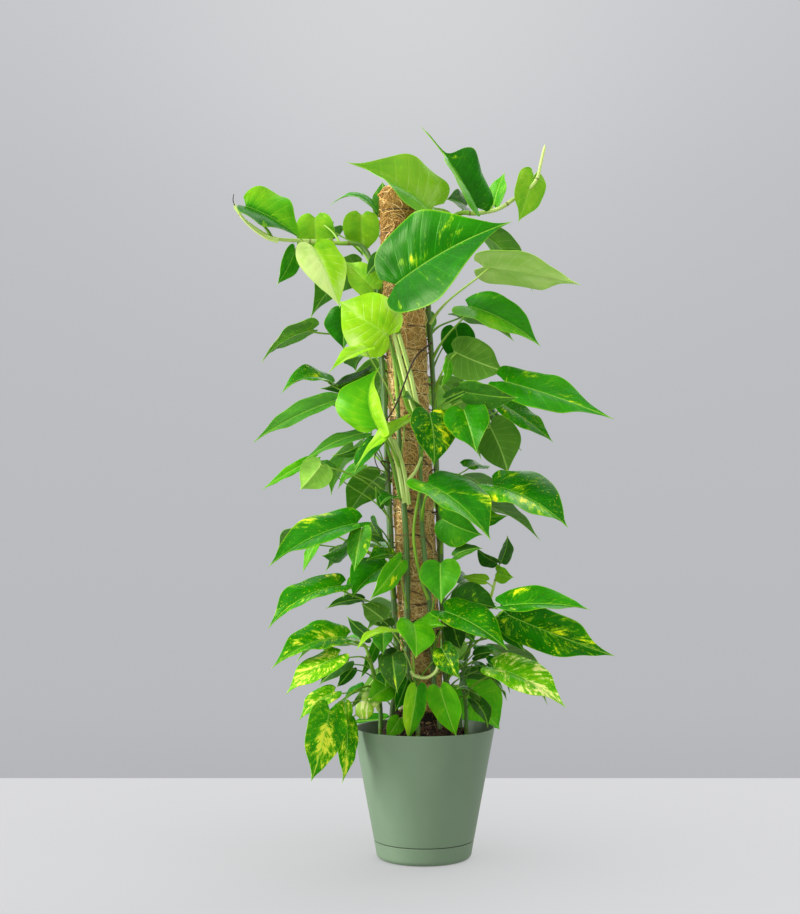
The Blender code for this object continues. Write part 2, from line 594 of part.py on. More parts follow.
def make_soil(finish, routes):
    """Soil that fills the pot up to a mound, with plain holes for the pole and every stem."""
    taper = (RIM_RADIUS - SEAM_RADIUS) / (POT_HEIGHT - SEAM_HEIGHT)
    edge = SEAM_RADIUS + taper * (SOIL_EDGE_HEIGHT - SEAM_HEIGHT) - WALL - SOIL_GAP - 0.6
    low = WALL + GAP + WALL + GAP
    profile = [(0.0, low), (NEST_RADIUS - 11.0, low), (NEST_RADIUS - 6.0, SEAM_HEIGHT)]
    profile.append((edge, SOIL_EDGE_HEIGHT))
    rings = (0.86, 0.7, 0.55, 0.4)
    profile += [(edge * share, SOIL_MOUND_HEIGHT) for share in rings] + [(0.0, SOIL_MOUND_HEIGHT)]
    corners, faces = turned_mesh(profile, ROUND_SIDES // 2)
    for corner in corners:
        if corner.z >= SOIL_EDGE_HEIGHT:
            corner.z = soil_height(corner.x, corner.y)
    soil = solid("soil", corners, faces, finish)
    sleeve = POLE_RADIUS + HOLE_CLEARANCE
    hole = [pole_centre(POLE_FOOT[2] - GAP), pole_centre(SOIL_MOUND_HEIGHT + 30)]
    cutters = [solid("hole", *tube_mesh(hole, [sleeve] * 2, POLE_SIDES), finish)]
    for name, route in routes.items():
        ends = [route[0] - Vector((0, 0, GAP)), route[1] + Vector((0, 0, 12))]
        radius = VINES[name].radius + HOLE_CLEARANCE
        cutters.append(solid("hole", *tube_mesh(ends, [radius] * 2, STEM_SIDES + 3), finish))
    combine(soil, "DIFFERENCE", cutters, "EXACT")
    return soil


def make_pole(finish):
    """Coir pole: lumpy fibre drawn in where thin cord binds it, plain inside the soil, rounded at the top."""
    foot, top = Vector(POLE_FOOT), Vector(POLE_TOP)
    points, radii = [], []
    plain_top = SOIL_MOUND_HEIGHT + 4
    heights = [foot.z, plain_top]
    step = (top.z - 8 - plain_top) / POLE_RINGS
    heights += [plain_top + step * (k + 1) for k in range(POLE_RINGS)]
    for height in heights:
        points.append(pole_centre(height))
        radii.append(POLE_RADIUS)
    points += [pole_centre(top.z - 3), pole_centre(top.z)]
    radii += [POLE_RADIUS - 3, POLE_RADIUS - 10]
    corners, faces = tube_mesh(points, radii, POLE_SIDES)
    for index, corner in enumerate(corners):
        ring = index // POLE_SIDES
        if 2 <= ring < len(heights):
            centre = points[ring]
            bump = noise.noise(Vector((corner.x * 0.06, corner.y * 0.06, corner.z * 0.035)))
            bound = 0.5 + 0.5 * math.cos(math.tau * corner.z / BINDING_PITCH)
            shift = POLE_LUMP * (bump - 0.45) - 0.5 * bound
            corner += (corner - centre).normalized() * shift
    return solid("coir_pole", corners, faces, finish)


def leaf_solids(item, route, finish):
    """The blade and the stalk of one leaf, as two closed helpers."""
    blade = solid("blade", *blade_mesh(item), finish)
    stalk = petiole_route(item, route)
    petiole = solid("petiole", *tube_mesh(stalk, petiole_radii(item, len(stalk) - 1), 3), finish)
    return blade, petiole


def make_vine(name, items, route, finish):
    """One leafy stem: the stem with all its leaves fused to it."""
    radius = VINES[name].radius
    ends = len(route) - 1
    radii = [radius * (1.0 - 0.45 * max(k / ends - 0.6, 0.0) / 0.4) for k in range(ends + 1)]
    stem = solid(name, *tube_mesh(route, radii, STEM_SIDES), finish)
    helpers = []
    for item in items:
        helpers += leaf_solids(item, route, finish)
    combine(stem, "UNION", helpers, "MANIFOLD")
    return stem


def tree_of(corners, faces):
    return BVHTree.FromPolygons(corners, faces)


def leaf_trees(item, route):
    """Search trees of a leaf's blade and stalk, the stalk without its ends."""
    stalk = petiole_route(item, route)
    radii = petiole_radii(item, len(stalk) - 1)
    free = [stalk[0].lerp(stalk[1], 0.5)] + stalk[1:-1] + [stalk[-1].lerp(stalk[-2], 0.45)]
    return tree_of(*blade_mesh(item)), tree_of(*tube_mesh(free, [r + 1.0 for r in radii], 5))


def drawn_leaf(stem, height, azimuth, reach, rng):
    """A leaf on the far side: its stalk rises outwards, and its blade hangs out and down."""
    out = Vector((math.cos(azimuth), math.sin(azimuth), 0))
    lift = rng.uniform(24, 66)
    base = pole_centre(height) + out * (CLIMB_RADIUS + reach) + Vector((0, 0, lift))
    length = rng.uniform(74, 128)
    swing = azimuth + rng.uniform(-0.5, 0.5)
    dip = rng.uniform(0.25, 0.95)
    way = Vector((math.cos(swing) * math.cos(dip), math.sin(swing) * math.cos(dip), -math.sin(dip)))
    tip = base + way * length
    face = out * 0.7 + Vector((rng.uniform(-0.25, 0.25), rng.uniform(-0.25, 0.25), 0.8))
    width = length * rng.uniform(0.62, 0.78)
    droop = rng.uniform(0.07, 0.13)
    sweep = rng.uniform(-0.06, 0.06)
    return Leaf(stem, height, base, tip, width, face, droop, 16, sweep, 0.3, 0.05)


def back_leaves(routes):
    """Leaves of the far side, each drawn again until it is clear of the leaves before it."""
    rng = random.Random(BACK_SEED)
    placed = [tree for item in LEAVES for tree in leaf_trees(item, routes[item.vine])]
    stems = {}
    for name, route in routes.items():
        stems[name] = tree_of(*tube_mesh(route, [STEM_RADIUS + 1] * len(route), 6))
    made = []
    for index in range(BACK_LEAVES + LOW_BACK_LEAVES):
        for _ in range(60):
            if index < BACK_LEAVES:
                stem = BACK_STEMS[(index * 3 + index // 4) % len(BACK_STEMS)]
                share = index / (BACK_LEAVES - 1)
                height = BACK_LOWEST + (BACK_HIGHEST - BACK_LOWEST) * share + rng.uniform(-12, 12)
                azimuth = math.radians(VINES[stem].angle + rng.uniform(-34, 34))
                reach = rng.uniform(26, 96)
            else:
                stem = "vine_12"
                height = rng.uniform(212, 262)
                azimuth = math.radians(rng.uniform(10, 170))
                reach = rng.uniform(44, 92)
            item = drawn_leaf(stem, height, azimuth, reach, rng)
            blade, stalk = leaf_trees(item, routes[stem])
            others = [tree for name, tree in stems.items() if name != stem]
            touches_blade = any(blade.overlap(other) for other in placed + list(stems.values()))
            touches_stalk = any(stalk.overlap(other) for other in placed + others)
            low_point = item.tip.z < POT_HEIGHT + 12
            if not (touches_blade or touches_stalk or low_point):
                made.append(item)
                placed += [blade, stalk]
                break
    return made


def main():
    for old in list(bpy.data.objects):
        bpy.data.objects.remove(old)
    plastic = material("sage_plastic", (0.235, 0.345, 0.225), 0.55)
    earth = material("dark_soil", (0.035, 0.020, 0.012), 0.95)
    coir = material("coir_fibre", (0.270, 0.140, 0.055), 0.95)
    green = material("pothos_green", (0.060, 0.260, 0.020), 0.35)
    routes = {name: stem_route(vine) for name, vine in VINES.items()}
    items = LEAVES + back_leaves(routes)
    make_saucer(plastic)
    make_pot(plastic)
    make_soil(earth, routes)
    make_pole(coir)
    for name, route in routes.items():
        make_vine(name, [item for item in items if item.vine == name], route, green)


main()
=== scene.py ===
"""Looks of a golden pothos on a coir pole, in a sage-green plastic pot with a flush saucer.

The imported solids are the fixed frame. Tables and constants are in millimetres, as in the source of the
solids, and MM turns them into metres. Each leafy stem is made again from the same table of leaves with
finer blades, stalks, nodes and aerial roots. The pole gets loose fibres and cord, the soil gets clods
and chips, and the pot and the saucer get smooth walls.
"""

import math
import random
from collections import namedtuple

import bmesh
import bpy
from mathutils import Euler, Matrix, Vector, noise
from mathutils.bvhtree import BVHTree

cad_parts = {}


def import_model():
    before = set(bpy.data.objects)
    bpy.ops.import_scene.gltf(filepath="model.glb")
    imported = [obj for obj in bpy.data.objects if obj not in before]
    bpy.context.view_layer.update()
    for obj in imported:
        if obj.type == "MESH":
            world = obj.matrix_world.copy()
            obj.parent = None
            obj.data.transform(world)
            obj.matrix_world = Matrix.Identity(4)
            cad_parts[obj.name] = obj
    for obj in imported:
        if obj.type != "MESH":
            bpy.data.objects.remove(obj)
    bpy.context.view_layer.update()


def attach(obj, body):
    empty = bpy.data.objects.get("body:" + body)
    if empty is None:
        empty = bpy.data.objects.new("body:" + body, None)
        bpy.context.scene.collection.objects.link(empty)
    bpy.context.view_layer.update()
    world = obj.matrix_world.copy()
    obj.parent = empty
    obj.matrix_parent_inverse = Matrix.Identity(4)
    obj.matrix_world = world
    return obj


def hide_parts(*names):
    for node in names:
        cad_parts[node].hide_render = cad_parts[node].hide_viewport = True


MM = 0.001
UP = Vector((0, 0, 1))

# Viewer of the front view, in millimetres, and the photograph's frame in pixels
EYE_DISTANCE = 2000.0
EYE_HEIGHT = 442.0
FRAME_WIDTH = 800
FRAME_HEIGHT = 914
FOCAL_PIXELS = 1486.0
AXIS_COLUMN = 424.0
HORIZON_ROW = 528.4
SENSOR = 36.0

# Pot and saucer
POT_HEIGHT = 175.0
RIM_RADIUS = 95.0
WALL = 3.0
SEAM_HEIGHT = 25.0
SEAM_GAP = 0.9
SEAM_RADIUS = 67.4
POT_TAPER = (RIM_RADIUS - SEAM_RADIUS) / (POT_HEIGHT - SEAM_HEIGHT)
NEST_RADIUS = 61.5
NEST_TAPER = 1.5
POT_FOOT_ROUND = 6.0
POT_FOOT_RISE = 4.0
POT_CORNER = (5.0, 8.0)
POT_SHOULDER = 0.4
POT_ROUND = 1.3
SEAM_EASE = 0.3
SEAM_BEVEL = 1.2
SAUCER_FOOT_RADIUS = 57.0
SAUCER_EDGE_RADIUS = 8.0
SAUCER_EDGE_SHARE = 0.92
SAUCER_EDGE_STEPS = 12
SAUCER_WALL = 2.6
SAUCER_CORNER = (0.6, 4.0)
SAUCER_INSET = 0.2
SAUCER_ROUND = 0.7
GAP = 0.3
DRAIN_HOLE_RADIUS = 4.5
DRAIN_HOLE_CIRCLE = 36.0
DRAIN_HOLES = 5
DRILL_SPARE = 2
TURNED_SIDES = 180

# Soil, mounded round the pole
SOIL_EDGE_HEIGHT = 142.0
SOIL_MOUND_HEIGHT = 196.0
SOIL_GAP = 0.5
SOIL_RADIUS = SEAM_RADIUS + POT_TAPER * (SOIL_EDGE_HEIGHT - SEAM_HEIGHT) - WALL - SOIL_GAP
MOUND_INNER = 26.0
CLOD_HEIGHT = 2.2
LUMP_HEIGHT = 2.6
CRUMB_HEIGHT = 1.3
SOIL_FOOT_INSETS = (11.0, 6.0)
SOIL_SHOULDER = 6
LITTER_SEED = 41
SOIL_CHIPS = 1500
CHIP_SIZES = (0.9, 2.6)
BIG_CHIP_SHARE = 0.08
SOIL_THREADS = 420
THREAD_BENDS = (-1.5, 1.5)
THREAD_LENGTHS = (5, 22)
THREAD_RADII = (0.35, 0.38, 0.34, 0.28, 0.15)

# Coir pole, leaning a little to the left as it rises
POLE_RADIUS = 27.0
POLE_FOOT = (6.5, 0.0, 34.0)
POLE_TOP = (-34.0, 0.0, 902.0)
POLE_LUMP = 1.3
POLE_MATTING = 0.5
BINDING_DENT = 0.8
BINDING_PITCH = 31.0
CORD_RADIUS = 0.7
CORD_SEED = 19
CORD_TILT = 2.5
COIR_SEED = 7
COIR_STRANDS = 4200
FIBRE_SLANT = 0.75
FIBRE_CURL = 2.6
FIBRE_LENGTHS = (12, 42)
FIBRE_LIFTS = (0.1, 1.0)
STRAY_SHARE = 0.09
STRAY_LIFTS = (1.0, 4.0)
FIBRE_RADII = (0.28, 0.62)
FIBRE_THINNING = (0.6, 1.0, 1.0, 0.9, 0.7, 0.3)
TOP_ROUND = 14.0
TOP_ROUND_DEPTH = 12.0
# Painted light on the lower pole, where the leaves shade it: coir and fibres lighten from 860 mm down to 640
# mm.
COIR_PAINTED_LIGHT_HEIGHTS = (860.0, 640.0)

# Stems climbing on the pole
STEM_RADIUS = 3.6
CLIMB_RADIUS = 33.6
CLIMB_STEP = 48.0
CLIMB_START = 236.0
SWAY_DEGREES = 4.0
SWAY_RATE = 0.021
STAND_OFF = 0.8
STAND_OFF_RATE = 0.034
ROOT_DEPTH = 148.0
NODE_PITCH = 52.0

# Leaf blades: outline points are (along, across) in blade lengths and half widths
LONG_LEAF = 140.0
SHORT_LEAF = 60.0
BLADE_THICKNESS = 0.6
SOLID_THICKNESS = 0.9
PETIOLE_SPANS = 3
FULL_STALK_WIDTH = 90.0
LOBE_REAR = (-0.1, 0.26)
LOBE_TURN = (-0.13, 0.72)
LOBE_SHOULDER = (0.02, 1.0)
WIDEST = (0.27, 1.0)
SIDE_TURN = (0.54, 1.0)
TIP_TURN = (0.85, 0.12)
WIDEST_ROW = 0.36
WIDEST_ARCH = 0.73
MIDRIB_POWER = 2.0
VEIN_BOW = 0.16
EDGE_FALL = 0.55
EDGE_WAVES = 2.3
NATURAL_WIDTH = 0.62
NATURAL_ROLL = math.radians(48)
MOST_ROLL = math.radians(66)
FLATTEST = 0.3
LOBE_REACH = 0.07
ROLL_STEPS = 20
SIDE_VEINS = 9
SPOUT_HALF = 1.2

# Relief of the fine blades, in millimetres on a leaf of RELIEF_LENGTH
RELIEF_LENGTH = 170.0
PUCKER = 0.62
GROOVE = 0.8
RIB = 0.55
DRIFT = 4.2
RIPPLE = 7.0
WAVER = 4.6

# Material slots of a leafy stem, its short aerial roots, and the furled leaf low at the left
BLADE, STALK, ROOT = 0, 1, 2
ROOT_RADII = (1.2, 1.1, 1.0, 0.8, 0.6, 0.3)
BUD_STEM = "vine_09"
BUD_CENTRE = (-77, -86, 208)
BUD_RADIUS = 12.0
BUD_RINGS = 14

# Painted values, and changes of tone, that change nothing
PLAIN = (0.0, 0.0, 0.0)

# Looks of leaves: tone runs from 0, dark, to 1, pale lime. dull greys it, gold is how much of it is
# streaked yellow, and cream turns those streaks from yellow to white.
Look = namedtuple("Look", "tone dull gold cream")
LOOKS = {
    "dark": Look(0.08, 0.15, 0.02, 0.0),
    "deep": Look(0.24, 0.0, 0.05, 0.0),
    "rich": Look(0.36, 0.0, 0.06, 0.0),
    "mid": Look(0.42, 0.12, 0.06, 0.0),
    "bright": Look(0.56, 0.0, 0.04, 0.0),
    "fresh": Look(0.72, 0.18, 0.0, 0.2),
    "lime": Look(0.8, 0.0, 0.0, 0.0),
    "moss": Look(0.78, 0.3, 0.0, 0.0),
    "pale": Look(0.86, 0.0, 0.3, 0.9),
    "dull": Look(0.42, 0.34, 0.0, 0.0),
    "olive": Look(0.32, 0.35, 0.0, 0.0),
    "flecked": Look(0.36, 0.0, 0.36, 0.1),
    "streaked": Look(0.42, 0.0, 0.62, 0.08),
    "golden": Look(0.54, 0.0, 0.85, 0.2),
    "creamy": Look(0.56, 0.0, 0.86, 0.5),
    "cream": Look(0.95, 0.1, 0.9, 0.6),
}
Leaf = namedtuple("Leaf", "vine node base tip width face droop fold sweep taper wave look marks halves")
Vine = namedtuple("Vine", "root angle turn top shoot radius")


def stem_name(number):
    return "vine_%02d" % number


def leaf(
    vine, node, base, tip, left, right, look,
    droop=0.07, fold=20, sweep=0.0, taper=0.0, wave=0.05, under=False, roll=None,
    gold=None, marks=(), halves=PLAIN,
):
    """A leaf seen from the front, with its blade rolled about its length until it covers what is seen.

    vine is its stem's number, and node is the height where its stalk leaves the stem. base and tip are
    (across, up, depth), and base is at the back of the lobes. left and right are how far the blade is
    seen to reach to either side of the line from base to tip. under is true where its lower face is
    seen, and roll, in degrees, is given only where the blade is seen nearly edge-on. marks are yellow
    patches, each (row, side, size) with the row and the size in blade lengths. halves changes the tone:
    of the half to the right of the midrib, of the half to its left, and towards the tip. On some leaves
    it is painted light: a painted sheen on one half, or painted shade and light on the halves of a fold.
    """
    base, tip = sighted(base), sighted(tip)
    base = base.lerp(tip, LOBE_REACH)
    along = tip - base
    length = along.length
    along.normalize()
    centre = (base + tip) / 2
    toward = Vector((0, -EYE_DISTANCE, EYE_HEIGHT)) - centre
    scale = toward.length / EYE_DISTANCE
    aside = toward.normalized().cross(along).normalized()
    facing = along.cross(aside) * (-1 if under else 1)
    half = scale * (left + right) / 2
    if roll is None:
        shift = scale * (left - right) / 2 - WIDEST_ARCH * sweep * length
        roll, droop, fold = rolled(half, length, droop, fold, shift)
    angle = math.radians(roll)
    face = facing * math.cos(angle) + aside * math.sin(angle)
    tint = LOOKS[look] if gold is None else LOOKS[look]._replace(gold=gold)
    width = 2 * half / math.cos(angle)
    stem = stem_name(vine)
    return Leaf(stem, node, base, tip, width, face, droop, fold, sweep, taper, wave, tint, marks, halves)


def rolled(half, length, droop, fold, shift):
    """The roll, in degrees, that shows a blade's middle off centre by shift, and its eased droop and fold."""
    arch = WIDEST_ARCH * droop * length
    rise = half * (1 - EDGE_FALL) * math.tan(math.radians(fold))
    natural = math.acos(min(max(2 * half / (NATURAL_WIDTH * length), math.cos(NATURAL_ROLL)), 1.0))
    full = rise * math.tan(natural) + arch * math.sin(natural)
    ease = min(max(abs(shift) / full, FLATTEST), 1.0) if full > 0 else 1.0
    low, high = 0.0, MOST_ROLL
    for _ in range(ROLL_STEPS):
        angle = (low + high) / 2
        if ease * (rise * math.tan(angle) + arch * math.sin(angle)) < abs(shift):
            low = angle
        else:
            high = angle
    fold = math.degrees(math.atan(ease * math.tan(math.radians(fold))))
    return math.degrees(math.copysign(low, shift)), droop * ease, fold


def sighted(place):
    """The point in space, in millimetres, of an (across, up, depth) reading on the front view."""
    across, up, depth = place
    nearness = (EYE_DISTANCE + depth) / EYE_DISTANCE
    return Vector((across * nearness, depth, EYE_HEIGHT + (up - EYE_HEIGHT) * nearness))


# Stems: root is (x, y) in the soil, angle is the side of the pole where the stem climbs (0 is the
# right side and 270 the front), turn is how far it winds round by top, the height where it leaves the
# pole, and shoot lists (across, up, depth) points given past that height.
VINES = {
    "vine_01": Vine((-20, -38), 244, 6, 715, (), 4.0),
    "vine_02": Vine((-42, -14), 203, -8, 770, (), 3.8),
    "vine_03": Vine(
        (-38, 18), 162, 10, 800,
        (
            (-80, 819, 10), (-118, 826, 4), (-160, 829, 0), (-194, 831, -4), (-214, 838, -8),
            (-240, 856, -12), (-256, 876, -16),
        ),
        3.4,
    ),
    "vine_04": Vine((-14, 42), 118, -10, 860, (), 3.6),
    "vine_05": Vine((22, 40), 70, 12, 850, (), 3.6),
    "vine_06": Vine(
        (44, 18), 24, -14, 845,
        (
            (40, 862, -4), (72, 866, -8), (100, 872, -10), (122, 886, -12), (143, 901, -14),
            (153, 915, -14), (157, 932, -16), (163, 958, -18),
        ),
        3.4,
    ),
    "vine_07": Vine((46, -14), 344, 8, 745, (), 3.8),
    "vine_08": Vine((20, -40), 297, -10, 610, (), 3.6),
    "vine_09": Vine((-58, -22), 0, 0, 0, ((-64, 232, -36), (-72, 262, -44), (-80, 288, -46)), 3.0),
    "vine_10": Vine((-8, -58), 0, 0, 0, ((-10, 226, -64), (-16, 252, -70)), 3.0),
    "vine_11": Vine(
        (56, -20), 0, 0, 0,
        (
            (52, 244, -14), (62, 284, -10), (76, 318, -10), (88, 344, -12), (96, 372, -14),
            (101, 390, -16),
        ),
        2.6,
    ),
    "vine_12": Vine((16, 60), 0, 0, 0, ((20, 236, 72), (24, 268, 80)), 3.0),
}

